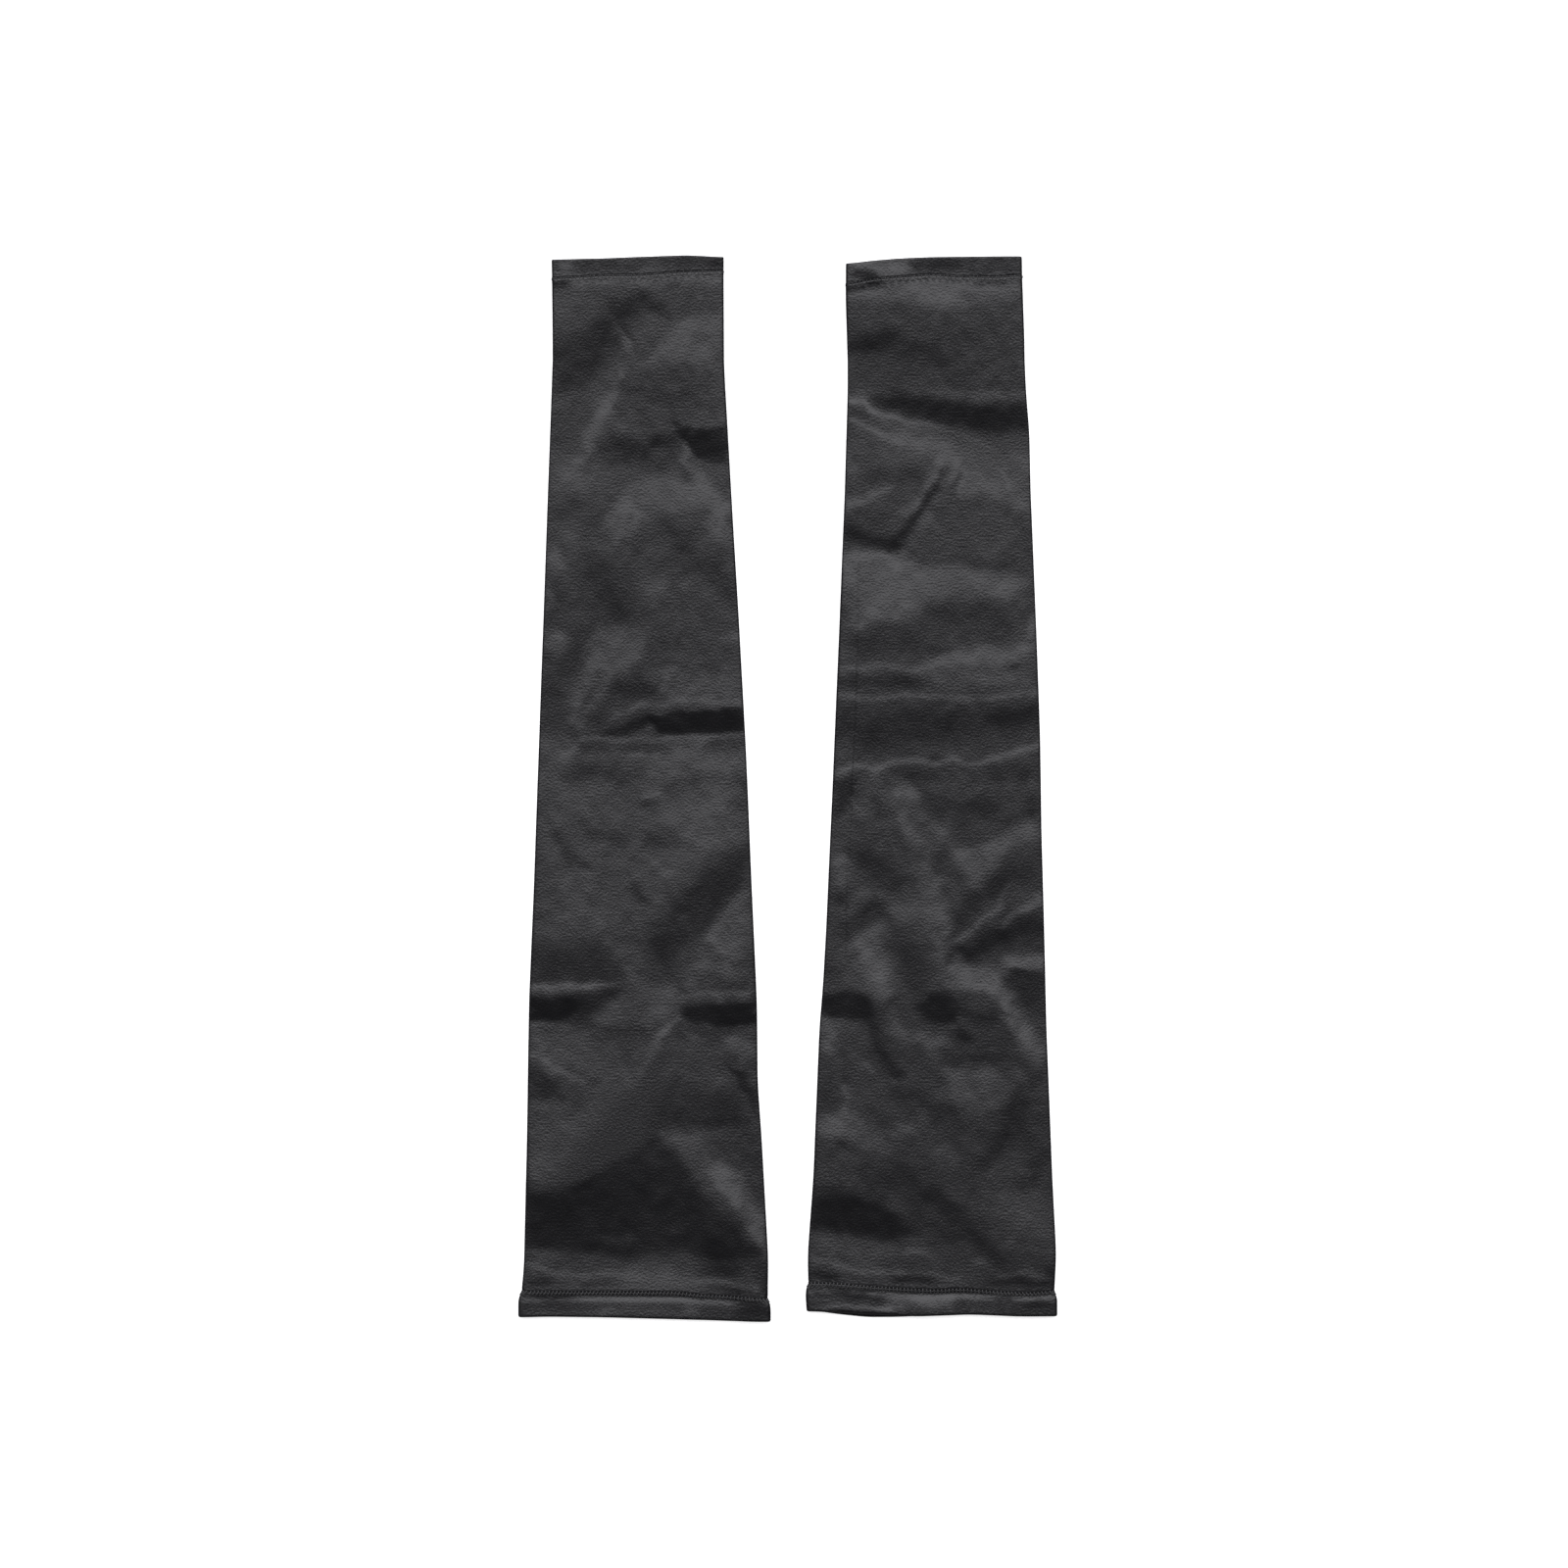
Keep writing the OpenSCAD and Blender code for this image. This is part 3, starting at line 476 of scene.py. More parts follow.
# Broader areas of the same kind, as (tone, how soft the edge is, [corner (across, along), ...]).
PATCHES = {
    "left": [
        # near the hand end
        (-0.45, 1, [(-46, 262.5), (42, 265.5), (42, 273), (-46, 271)]),
        (-0.3, 4, [(-46, 256), (-5, 257), (42, 258), (43, 246), (22, 241), (10, 233), (2, 216), (40, 212),
         (44, 190), (16, 188), (-10, 184), (-14, 200), (-12, 215), (-30, 205), (-46, 200)]),
        (0.4, 3, [(4, 218), (12, 230), (22, 238), (42, 244), (42, 219), (24, 217)]),
        (-0.3, 4, [(-46, 212), (-22, 214), (-28, 196), (-33, 180), (-46, 176)]),
        # the forearm
        (0.4, 3, [(-46, 170), (-32, 170), (-25, 160), (-27, 150), (-46, 152)]),
        (-0.45, 2.5, [(-16, 180), (18, 182), (20, 174), (21, 166), (12, 164), (-4, 164), (-16, 166)]),
        (-1.4, 1.2, [(17, 187), (20, 184), (43, 184), (46, 166), (36, 166), (30, 169), (24, 174), (19, 180)]),
        (0.5, 2.5, [(-20, 134), (-14, 146), (-6, 156), (2, 161), (12, 158), (22, 158), (32, 154), (40, 146),
         (44, 140), (44, 132), (38, 139), (30, 143), (16, 141), (8, 142), (2, 138), (-4, 130), (-12, 124)]),
        (0.5, 2, [(0, 103), (7, 109), (12, 112), (13, 100), (5, 97)]),
        (0.5, 2, [(-50, 80), (-38, 80), (-36, 70), (-42, 66), (-50, 68)]),
        # near the elbow
        (0.55, 2, [(-27, 72), (-22, 82), (0, 82), (2, 70), (-5, 62), (-14, 57), (-22, 42), (-27, 38),
         (-34, 30), (-38, 32), (-36, 48), (-30, 62)]),
        (0.3, 2.5, [(-8, 43), (8, 45), (14, 64), (20, 59), (51, 60), (51, 45), (30, 47), (14, 43)]),
        (-1.5, 0.9, [(4, 36.5), (20, 39), (35, 40), (53, 40.5), (53, 29), (30, 27.5), (8, 27.5)]),
        (-0.9, 1, [(-22, 28), (-10, 32), (4, 37.5), (8, 34), (1, 30), (-12, 27)]),
        (0.65, 7, [(-54, 27), (55, 26), (56, -28), (30, -36), (12, -52), (2, -78), (-54, -76)]),
        # the upper arm
        (-0.5, 2.5, [(55, -30), (40, -36), (28, -46), (18, -58), (8, -70), (4, -80), (12, -95), (20, -80),
         (28, -78), (36, -66), (46, -54), (52, -47)]),
        (0.65, 1.6, [(55, -43), (50, -51), (44, -58), (38, -68), (34, -76), (40, -84), (50, -88), (57, -82)]),
        (-0.2, 3, [(-57, -80), (-22, -80), (-16, -97), (-57, -98)]),
        (0.6, 3, [(-18, -78), (-2, -80), (6, -100), (18, -100), (16, -112), (12, -118), (2, -121),
         (-20, -121), (-23, -116), (-14, -108), (-9, -96)]),
        (-1.4, 1.5, [(-58, -107), (-42, -107), (-33, -108), (-35, -115), (-45, -118), (-58, -118.5)]),
        (-0.6, 3, [(-38, -106), (-18, -103), (-12, -104), (-22, -111), (-30, -118), (-40, -118)]),
        (-1.35, 1.3, [(20, -111), (35, -110), (59, -109), (59, -120), (40, -121), (26, -119), (19, -115)]),
        (0.45, 5, [(-58, -124), (4, -128), (0, -146), (-9, -162), (-21, -179), (-33, -193), (-45, -199),
         (-59, -200)]),
        (-0.6, 2, [(-58, -141), (-48, -147), (-37, -157), (-46, -160), (-58, -158)]),
        (-0.9, 1.2, [(45, -141), (51, -144), (58, -153), (61, -168), (56, -161), (50, -152)]),
        (-0.45, 3.5, [(3, -150), (20, -152), (45, -154), (55, -168), (40, -175), (22, -171), (8, -172),
         (-6, -182), (-4, -166)]),
        (0.15, 2.5, [(10, -176), (22, -178), (36, -184), (33, -198), (24, -190)]),
        # near the arm end
        (-1, 2.6, [(-60, -206), (-42, -204), (-32, -199), (-25, -191), (-17, -183), (-8, -177), (6, -177),
         (17, -185), (26, -199), (36, -211), (46, -222), (57, -238), (38, -241), (20, -236), (-5, -240),
         (-35, -236), (-60, -233)]),
        (-0.15, 4, [(-60, -208), (-20, -204), (0, -192), (12, -200), (5, -226), (-20, -230), (-60, -230)]),
        (0.85, 2, [(39, -191), (46, -193), (52, -199), (59, -210), (66, -223), (69, -246), (63, -238),
         (54, -225), (46, -213), (40, -205), (34, -197)]),
        (0.3, 1.5, [(-30, -263.5), (28, -264), (28, -269), (-30, -268)]),
        (-0.7, 1, [(-56, -257.5), (-34, -257.5), (-34, -261.5), (-56, -261.5)]),
        (-0.3, 1, [(30, -260), (62, -262), (62, -266), (30, -263)]),
        (-0.4, 3, [(32, -226), (46, -236), (56, -246), (44, -250), (30, -246)]),
    ],
    "right": [
        # near the hand end
        (-0.45, 1, [(-12, 263), (46, 263), (46, 273), (-14, 272)]),
        (0.35, 2.5, [(-20, 256), (-8, 260), (8, 259), (14, 256), (10, 248), (0, 246), (-10, 248),
         (-18, 251)]),
        (-0.5, 3, [(-44, 249), (-18, 248), (0, 244), (12, 245), (45, 250), (47, 203), (-43, 203)]),
        # the forearm
        (-1.3, 3.2, [(-30, 199), (-20, 202), (0, 199), (20, 197), (50, 197), (53, 180), (40, 178),
         (28, 176.5), (20, 179.5), (10, 182.5), (0, 185.5), (-10, 189), (-22, 193)]),
        (0.25, 3, [(10, 178), (30, 171), (50, 175), (51, 146), (40, 142), (32, 150), (14, 150), (12, 163),
         (-16, 166), (-20, 173)]),
        (0.45, 2.5, [(-46, 121), (-20, 121), (-15, 116), (0, 113), (25, 113), (50, 108), (51, 96), (30, 96),
         (10, 97), (-5, 95), (-12, 86), (-25, 86), (-35, 81), (-42, 84), (-46, 95)]),
        (0.3, 2.5, [(-10, 58), (-5, 66), (8, 70), (22, 74), (40, 74), (52, 86), (52, 54), (30, 52), (10, 50),
         (-5, 50)]),
        # near the elbow
        (-0.8, 1.5, [(-50, 4), (-39, 8), (-41, -2), (-45, -12), (-51, -15)]),
        (0.4, 2, [(-22, 6), (-8, 0), (-5, -15), (2, -22), (8, -18), (6, -30), (0, -34), (6, -42), (8, -60),
         (9, -80), (4, -88), (-2, -72), (-6, -55), (-10, -40), (-16, -25), (-20, -8)]),
        (0.5, 2.5, [(55, -14), (40, -22), (28, -28), (15, -30), (8, -26), (14, -36), (18, -52), (24, -50),
         (34, -38), (46, -28), (55, -24)]),
        # the upper arm
        (0.3, 3, [(-24, -50), (-6, -50), (4, -60), (8, -72), (2, -76), (-12, -70), (-26, -68)]),
        (0.5, 2.5, [(-40, -74), (-28, -69), (-24, -80), (-20, -95), (-24, -107), (-30, -105), (-38, -92)]),
        (-1.1, 1.6, [(-58, -105), (-40, -103), (-33, -107), (-29, -117), (-36, -118), (-58, -116)]),
        (-1.05, 2, [(-8, -110), (-3, -105), (8, -105), (14, -112), (10, -119), (0, -119), (-6, -115)]),
        (0.55, 1.8, [(32, -88), (38, -98), (42, -110), (50, -121), (57, -131), (57, -142), (50, -137),
         (40, -123), (33, -111), (24, -103), (13, -103), (6, -90), (12, -89), (22, -92)]),
        (-0.55, 2, [(39, -94), (57, -92), (58, -117), (52, -117), (43, -105)]),
        (0.5, 3.5, [(6, -142), (20, -140), (36, -144), (38, -155), (30, -166), (16, -165), (8, -156)]),
        (0.4, 2.5, [(-60, -168), (-45, -162), (-38, -168), (-25, -176), (-26, -186), (-38, -180),
         (-58, -177)]),
        # near the arm end
        (-1.25, 2.4, [(-64, -210), (-42, -208), (-28, -212), (-18, -218), (-9, -227), (-20, -230),
         (-32, -229), (-45, -227), (-64, -225)]),
        (0.25, 4, [(30, -176), (56, -196), (60, -236), (44, -240), (30, -222), (26, -200)]),
    ],
}

# ---------------------------------------------------------------- helpers


def smooth_step(value, start, end):
    """0 before start, 1 after end, and an easy curve between them."""
    t = np.clip((value - start) / (end - start), 0, 1)
    return t * t * (3 - 2 * t)


def soft_line(points, where, softness=4.0):
    """A line through the points, with its corners rounded over the given distance."""
    points = sorted(points)
    places, values = zip(*points)
    total = 0
    for shift in (-1.0, -0.5, 0.0, 0.5, 1.0):
        total = total + np.interp(where + shift * softness, places, values)
    return total / 5


# ---------------------------------------------------------------- the front layer's folds as a height map

map_step = 0.5
map_half_x = 80.0
map_half_y = 300.0
sideways_ease = 0.025      # how little a slope across the glove costs, against one along it
longest_rise = 60.0        # folds longer than this flatten out
stray_reach = 6.0          # room round a fold for its outline to stray in
patch_ease = 1.4           # how much softer a patch's edge is than the table says
shade_calm = 0.55          # how much of the small creases a dark fold loses, as its tone falls
shade_tones = (0.3, 1.1)   # from minus the first of these to minus the second
# Seeded noise, as (number to add to the glove's seed, size of its blobs, strength).
stray_across = ((3, 11.0, 0.8), (4, 4.0, 0.5))
stray_along = ((5, 11.0, 0.4), (6, 4.0, 0.15))
uneven_tones = ((7, 6.0, 0.10),)
broad_creases = ((0, 9.0, 0.08),)
small_creases = ((1, 3.5, 0.07), (2, 1.8, 0.06))
back_waves = (8, 14.0)     # the same for the back layer, with no strength
map_x = np.arange(-map_half_x, map_half_x, map_step)
map_y = np.arange(-map_half_y, map_half_y, map_step)


def paint_fold(tones, where, tone, points, skew=0):
    """Adds one fold's tone to the map: full along its line, fading out over its half width."""
    strength = np.zeros_like(tones)
    for (x0, y0, w0), (x1, y1, w1) in zip(points, points[1:]):
        reach = 3 * max(w0, w1) * (1 + abs(skew)) + stray_reach
        columns = np.flatnonzero((map_x > min(x0, x1) - reach) & (map_x < max(x0, x1) + reach))
        rows = np.flatnonzero((map_y > min(y0, y1) - reach) & (map_y < max(y0, y1) + reach))
        window = np.ix_(rows, columns)
        across, along = where[0][window] - x0, where[1][window] - y0
        run_x, run_y = x1 - x0, y1 - y0
        t = np.clip((across * run_x + along * run_y) / (run_x**2 + run_y**2), 0, 1)
        off_x, off_y = across - t * run_x, along - t * run_y
        distance = np.hypot(off_x, off_y)
        towards_hand = off_y / np.maximum(distance, map_step / 10)
        width = (w0 + t * (w1 - w0)) * (1 + skew * towards_hand)
        strength[window] = np.maximum(strength[window], np.exp(-((distance / width) ** 2)))
    tones += tone * strength


def paint_patch(tones, where, tone, softness, corners):
    """Adds one area's tone to the map: full inside its corners, with a soft edge."""
    xs, ys = zip(*corners)
    reach = softness + stray_reach
    columns = np.flatnonzero((map_x > min(xs) - reach) & (map_x < max(xs) + reach))
    rows = np.flatnonzero((map_y > min(ys) - reach) & (map_y < max(ys) + reach))
    window = np.ix_(rows, columns)
    across, along = where[0][window], where[1][window]
    distance = np.full(across.shape, np.inf)
    inside = np.zeros(across.shape, bool)
    for (x0, y0), (x1, y1) in zip(corners, corners[1:] + corners[:1]):
        run_x, run_y = x1 - x0, y1 - y0
        t = np.clip(((across - x0) * run_x + (along - y0) * run_y) / (run_x**2 + run_y**2), 0, 1)
        distance = np.minimum(distance, np.hypot(across - x0 - t * run_x, along - y0 - t * run_y))
        if run_y:
            beside = (along > min(y0, y1)) & (along <= max(y0, y1))
            inside ^= beside & (across < x0 + (along - y0) * run_x / run_y)
    distance = np.where(inside, distance, -distance)
    tones[window] += tone * smooth_step(distance, -softness, softness)


def soft_noise(seed, size):
    """Seeded smooth noise over the map, about 1 high, with blobs of the given size."""
    random = np.random.default_rng(seed).standard_normal((len(map_y), len(map_x)))
    freq_y = np.fft.fftfreq(len(map_y), map_step)[:, None]
    freq_x = np.fft.rfftfreq(len(map_x), map_step)[None, :]
    blur = np.exp(-((freq_x**2 + freq_y**2) * size**2))
    smooth = np.fft.irfft2(np.fft.rfft2(random) * blur, s=random.shape)
    return smooth / smooth.std()


def heights_from_tones(tones):
    """The height map, in millimetres, whose slope along the glove follows the painted tones."""
    freq_y = 2 * math.pi * np.fft.fftfreq(len(map_y), map_step)[:, None]
    freq_x = 2 * math.pi * np.fft.rfftfreq(len(map_x), map_step)[None, :]
    cost = freq_y**2 + sideways_ease * freq_x**2 + 1 / longest_rise**2
    return np.fft.irfft2(1j * freq_y * np.fft.rfft2(tones * fold_tilt) / cost, s=tones.shape)


def add_noise(values, seed, parts):
    """The values with soft noises added, each given as (number to add to the seed, size, strength)."""
    return sum((strength * soft_noise(seed + number, size) for number, size, strength in parts), values)


def height_map(side, seed):
    """The height map of one front layer: its folds and patches, and seeded creases over them."""
    tones = np.zeros((len(map_y), len(map_x)))
    across, along = np.meshgrid(map_x, map_y)
    where = (add_noise(across, seed, stray_across), add_noise(along, seed, stray_along))
    for fold in FOLDS[side]:
        paint_fold(tones, where, *fold)
    for tone, softness, corners in PATCHES[side]:
        paint_patch(tones, where, tone, softness * patch_ease, corners)
    calm = 1 - shade_calm * smooth_step(-tones, *shade_tones)
    tones *= add_noise(1, seed, uneven_tones)
    tones = add_noise(tones, seed, broad_creases)
    tones += calm * add_noise(0, seed, small_creases)
    return heights_from_tones(tones)


def read_map(values, x, y):
    """The map's value at places across and along the glove."""
    column = np.clip((x + map_half_x) / map_step, 0, len(map_x) - 1.001)
    row = np.clip((y + map_half_y) / map_step, 0, len(map_y) - 1.001)
    i, j = row.astype(int), column.astype(int)
    u, v = column - j, row - i
    low = values[i, j] * (1 - u) + values[i, j + 1] * u
    high = values[i + 1, j] * (1 - u) + values[i + 1, j + 1] * u
    return low * (1 - v) + high * v


# ---------------------------------------------------------------- the shape of one glove


class Glove:
    """Where the cloth of one glove lies. Places are across and along that glove, from its own middle."""

    def __init__(self, side, seed):
        self.side = side
        self.seam_at_left = side == "right"
        low, high = node_box(side + "_wrist_hem")
        self.middle = (low[0] + high[0]) / 2
        self.cut = self.cut_outline()
        self.relief = height_map(side, seed)
        self.back_relief = np.abs(soft_noise(seed + back_waves[0], back_waves[1]))

    def cut_outline(self):
        """(places along the glove, half widths there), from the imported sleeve."""
        widths = {}
        for part in ("_forearm_sleeve", "_upper_arm_sleeve"):
            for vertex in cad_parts[self.side + part].data.vertices:
                place = round(vertex.co.y / MM, 1)
                half = abs(vertex.co.x / MM - self.middle)
                widths[place] = max(widths.get(place, 0), half)
        places = sorted(widths)
        return places, [widths[p] for p in places]

    def outline(self, y, which):
        """How far out the left or right side is, at a place along the glove."""
        half = np.interp(y, *self.cut) + soft_line(SIDE_WANDER[self.side, which], y, wander_soft)
        side_x = near_side if which == "right" else -near_side
        line = arm_seam_y + soft_line(LINE_STRAY[self.side, "arm_seam"], side_x)
        half = half + hem_flare * smooth_step(-y, -line - flare_span[0], -line + flare_span[1])
        pinch = pinch_depth * np.exp(-(((y - line) / pinch_width) ** 2))
        return half - pinch

    def line(self, name, x, back=False):
        """The place along the glove of an edge or stitch line, at places across it."""
        level = {"wrist_edge": wrist_edge_y, "wrist_seam": wrist_seam_y,
                 "arm_seam": arm_seam_y, "arm_edge": arm_edge_y}[name]
        stray = soft_line(LINE_STRAY[self.side, name], x)
        if name == "arm_edge":
            stray = stray + np.where(back, soft_line(BACK_SHOWS[self.side], x), 0)
        return level + stray

    def rounding(self, y):
        """Radius of the fold down the sides."""
        wrist = (wrist_round - side_round) * smooth_step(y, wrist_seam_y - wrist_ramp[0], wrist_seam_y)
        arm = (arm_round - side_round) * smooth_step(-y, -arm_seam_y - arm_ramp[0], -arm_seam_y + 4)
        return side_round + wrist + arm

    def lowest(self, y):
        """The lowest that the front layer may lie, which is higher where there are more plies."""
        wrist = base_z + 2 * wrist_hem_thick + layer_gap - lowest_top
        arm = base_z + 2 * arm_hem_thick + layer_gap - lowest_top
        return (lowest_top + wrist * smooth_step(y, wrist_seam_y - ply_ramp[0], wrist_seam_y)
                + arm * smooth_step(-y, -arm_seam_y - ply_ramp[1], -arm_seam_y))

    def show_through(self, x, y):
        """The shallow line where the seam allowance's edge shows through the front layer."""
        if not self.seam_at_left:
            return 0
        left, right = self.outline(y, "left"), self.outline(y, "right")
        distance = x + left - show_share * (left + right) - show_waves[0] * np.sin(y / show_waves[1])
        ends = smooth_step(y, *show_arm_fade) * smooth_step(-y, *show_wrist_fade)
        return -show_depth * np.exp(-((distance / show_width) ** 2)) * ends

    def pucker(self, x, y):
        """The small waves beside both rows of stitches."""
        wave = np.cos(2 * math.pi * x / pucker_pitch + 1.3 * np.sin(x / wave_length))
        total = 0
        for name, inward in (("wrist_seam", -1), ("arm_seam", 1)):
            distance = inward * (y - self.line(name, x))
            lip = pucker_lip if name == "wrist_seam" else lip_place * arm_reach[0] - arm_shift
            near = np.exp(-(((distance - lip) / pucker_width) ** 2))
            total = total + near * soft_line(PUCKERS[self.side, name], x)
        return pucker_height * wave * total

    def slack(self, x, y):
        """How much less than full the stitches' groove is in the front layer."""
        total = 0
        for end, outward in (("wrist", 1), ("arm", -1)):
            name = end + "_seam"
            distance = outward * (y - self.line(name, x))
            total = total + hem_dip(end, distance) * (1 - soft_line(PULLS[self.side, name], x))
        return total

    def top(self, x, y):
        """Height of the front layer's outer face, before the stitches' groove."""
        radius = self.rounding(y)
        inset = np.minimum(x + self.outline(y, "left"), self.outline(y, "right") - x) - radius
        inset = np.maximum(inset, 0)
        loft = mid_loft + (wrist_loft - mid_loft) * smooth_step(y, wrist_seam_y - wrist_ramp[1], wrist_edge_y)
        loft = loft + (arm_loft - mid_loft) * smooth_step(-y, -arm_seam_y - arm_ramp[1], -arm_seam_y)
        height = loft - side_loft * np.exp(-inset / side_slope)
        height = height + read_map(self.relief, x, y) + self.show_through(x, y)
        height = height + self.pucker(x, y) + self.slack(x, y)
        lowest = np.maximum(self.lowest(y), base_z + 2 * radius)
        height = lowest + np.logaddexp(0, (height - lowest) * limit_bend) / limit_bend
        return highest_top - np.logaddexp(0, (highest_top - height) * limit_bend) / limit_bend

    def back(self, x, y):
        """Height of the back layer's outer face, which lies on the table."""
        inset = np.minimum(x + self.outline(y, "left"), self.outline(y, "right") - x)
        at_arm = smooth_step(y, arm_edge_y, arm_edge_y + back_ends[0])
        ends = at_arm * smooth_step(-y, -wrist_edge_y, -wrist_edge_y + back_ends[1])
        waves = back_wave_height * read_map(self.back_relief, x, y)
        return base_z + waves * smooth_step(inset, *back_rise) * ends

    def place(self, around, first, second, share, depth):
        """Points of the cloth, as three arrays.

        around runs once round the tube: 0 to 1 over the front from the seam side to the other side, 1 to 2
        round that side, 2 to 3 over the back, and 3 to 4 round the seam side. share goes from the line called
        first at 0 to the line called second at 1. depth is how far inside the tube's outer face a point is.
        """
        around, share, depth = np.broadcast_arrays(around, share, depth)
        around = np.mod(around, 4)
        part = np.floor(around).astype(int)
        part_share = around - part
        is_back = part == 2
        across = np.select([part == 0, part == 1, part == 2], [part_share, 1, 1 - part_share], 0.0)
        turn = np.select([part == 1, part == 3], [part_share, 1 - part_share], 0.0)
        angle = np.where((part == 1) | (part == 3), math.pi / 2 - math.pi * turn, 0)
        if not self.seam_at_left:
            across = 1 - across
        guess_y = (1 - share) * self.line(first, 0.0) + share * self.line(second, 0.0)
        guess_x = (1 - across) * -self.outline(guess_y, "left") + across * self.outline(guess_y, "right")
        y = (1 - share) * self.line(first, guess_x, is_back) + share * self.line(second, guess_x, is_back)
        left, right = -self.outline(y, "left"), self.outline(y, "right")
        radius = self.rounding(y)
        x = left + radius + across * (right - left - 2 * radius)
        top, back = self.top(x, y), self.back(x, y)
        z = np.where(is_back, back + depth, top - depth)
        on_side = (part == 1) | (part == 3)
        outward = np.where(across > 0.5, 1, -1)
        bulge = np.maximum(radius - depth, 0.1)
        half_height = np.maximum((top - back) / 2 - depth, 0.1)
        x = np.where(on_side, x + outward * bulge * np.cos(angle), x)
        z = np.where(on_side, (top + back) / 2 + half_height * np.sin(angle), z)
        return x + self.middle, y, z


def around_columns(front, side, back, close=0):
    """Where the columns of a tube go, starting and ending at the middle of the seam side.

    close is how many extra columns crowd round the place where the allowance's edge shows through.
    """
    half = side // 2
    places = np.linspace(0, 1, 400)
    crowd = 1 + close * np.exp(-(((places - show_share) / crowd_width) ** 2)) / (front * crowd_area)
    run = np.cumsum(crowd)
    front_columns = np.interp(np.arange(front) / front, (run - run[0]) / (run[-1] - run[0]), places)
    return np.concatenate([
        3.5 + 0.5 * np.arange(half) / half,
        4 + front_columns,
        5 + np.arange(side) / side,
        6 + np.arange(back) / back,
        7 + 0.5 * np.arange(half) / half,
    ])


def weave_map(x, y, z, columns):
    """The cloth's own coordinates for each point: distance round the tube and place along it."""
    across_x = np.abs(np.diff(x, axis=1, append=x[:, :1]))
    across_z = np.abs(np.diff(z, axis=1, append=z[:, :1]))
    part = np.floor(np.mod(columns, 4)).astype(int)
    on_side = ((part == 1) | (part == 3))[None, :]
    steps = np.where(on_side, np.hypot(across_x, across_z), across_x)
    round_it = np.concatenate([np.zeros((len(x), 1)), np.cumsum(steps, axis=1)], axis=1)
    return round_it, np.concatenate([y, y[:, :1]], axis=1)


# ---------------------------------------------------------------- making meshes


def point_list(x, y, z):
    """Arrays of x, y and z as one list of points."""
    return np.stack([x, y, z], axis=-1).reshape(-1, 3)


def make_piece(name, points, faces, material, uv=None, smooth=True):
    """A mesh object from points in millimetres, and faces as lists of point numbers."""
    mesh = bpy.data.meshes.new(name)
    mesh.from_pydata((np.asarray(points) * MM).tolist(), [], faces)
    if uv is not None:
        layer = mesh.uv_layers.new(name="cloth")
        layer.data.foreach_set("uv", (np.asarray(uv) * MM).astype(np.float32).ravel())
    mesh.materials.append(material)
    mesh.polygons.foreach_set("use_smooth", [smooth] * len(mesh.polygons))
    mesh.update()
    mesh.validate()
    piece = bpy.data.objects.new(name, mesh)
    bpy.context.scene.collection.objects.link(piece)
    return piece


def tube_faces(rows, columns, cloth=None, first=0, inside_out=False, closed_rows=False):
    """Faces that join rows of points, each row closed on itself, and the corners' cloth coordinates."""
    faces, uvs = [], []
    for i in range(rows if closed_rows else rows - 1):
        k = (i + 1) % rows
        for j in range(columns):
            corners = [(i, j), (i, j + 1), (k, j + 1), (k, j)]
            if inside_out:
                corners.reverse()
            faces.append([first + row * columns + column % columns for row, column in corners])
            if cloth is not None:
                uvs += [(cloth[0][corner], cloth[1][corner]) for corner in corners]
    return faces, uvs


def glove_band(glove, name, profile, first, second, columns, material):
    """A band of cloth all round the tube, from a closed profile of (share, depth)."""
    shares = np.array([p[0] for p in profile])[:, None]
    depths = np.array([p[1] for p in profile])[:, None]
    x, y, z = glove.place(columns[None, :], first, second, shares, depths)
    faces, uvs = tube_faces(len(profile), len(columns), weave_map(x, y, z, columns),
                            inside_out=not glove.seam_at_left, closed_rows=True)
    return make_piece(name, point_list(x, y, z), faces, material, uvs)


# ---------------------------------------------------------------- materials


def new_material(name, colour, roughness):
    """A principled material with a plain finish, and its node tree to add detail to."""
    material = bpy.data.materials.new(name)
    material.use_nodes = True
    tree = material.node_tree
    shader = tree.nodes["Principled BSDF"]
    shader.inputs["Base Color"].default_value = (*colour, 1)
    shader.inputs["Roughness"].default_value = roughness
    return material, tree, shader


def add_node(tree, kind, **values):
    """A node with its inputs set by name, or linked where the value is another node's output."""
    node = tree.nodes.new(kind)
    for key, value in values.items():
        socket = node.inputs[key.replace("_", " ")]
        if isinstance(value, bpy.types.NodeSocket):
            tree.links.new(value, socket)
        else:
            socket.default_value = value
    return node


def math_node(tree, operation, first, second):
    """A math node's output, from two numbers or other nodes' outputs."""
    node = tree.nodes.new("ShaderNodeMath")
    node.operation = operation
    for socket, value in zip(node.inputs, (first, second)):
        if isinstance(value, bpy.types.NodeSocket):
            tree.links.new(value, socket)
        else:
            socket.default_value = value
    return node.outputs[0]


def cloth_coordinates(tree, across, along):
    """The cloth's own coordinates, times a number of repeats for each metre across and along."""
    where = tree.nodes.new("ShaderNodeUVMap")
    where.uv_map = "cloth"
    scaled = add_node(tree, "ShaderNodeMapping", Vector=where.outputs["UV"], Scale=(across, along, 1))
    return scaled.outputs["Vector"]


def add_bump(tree, height, distance, strength, below=None):
    """A bump layer, on top of the bump below it if there is one."""
    bump = add_node(tree, "ShaderNodeBump", Height=height, Distance=distance, Strength=strength)
    if below is not None:
        tree.links.new(below, bump.inputs["Normal"])
    return bump.outputs["Normal"]


def two_tones(tree, factor, dark, light):
    """A colour between two others, by a texture's factor."""
    mix = add_node(tree, "ShaderNodeMixRGB", Fac=factor, Color1=(*dark, 1), Color2=(*light, 1))
    return mix.outputs["Color"]


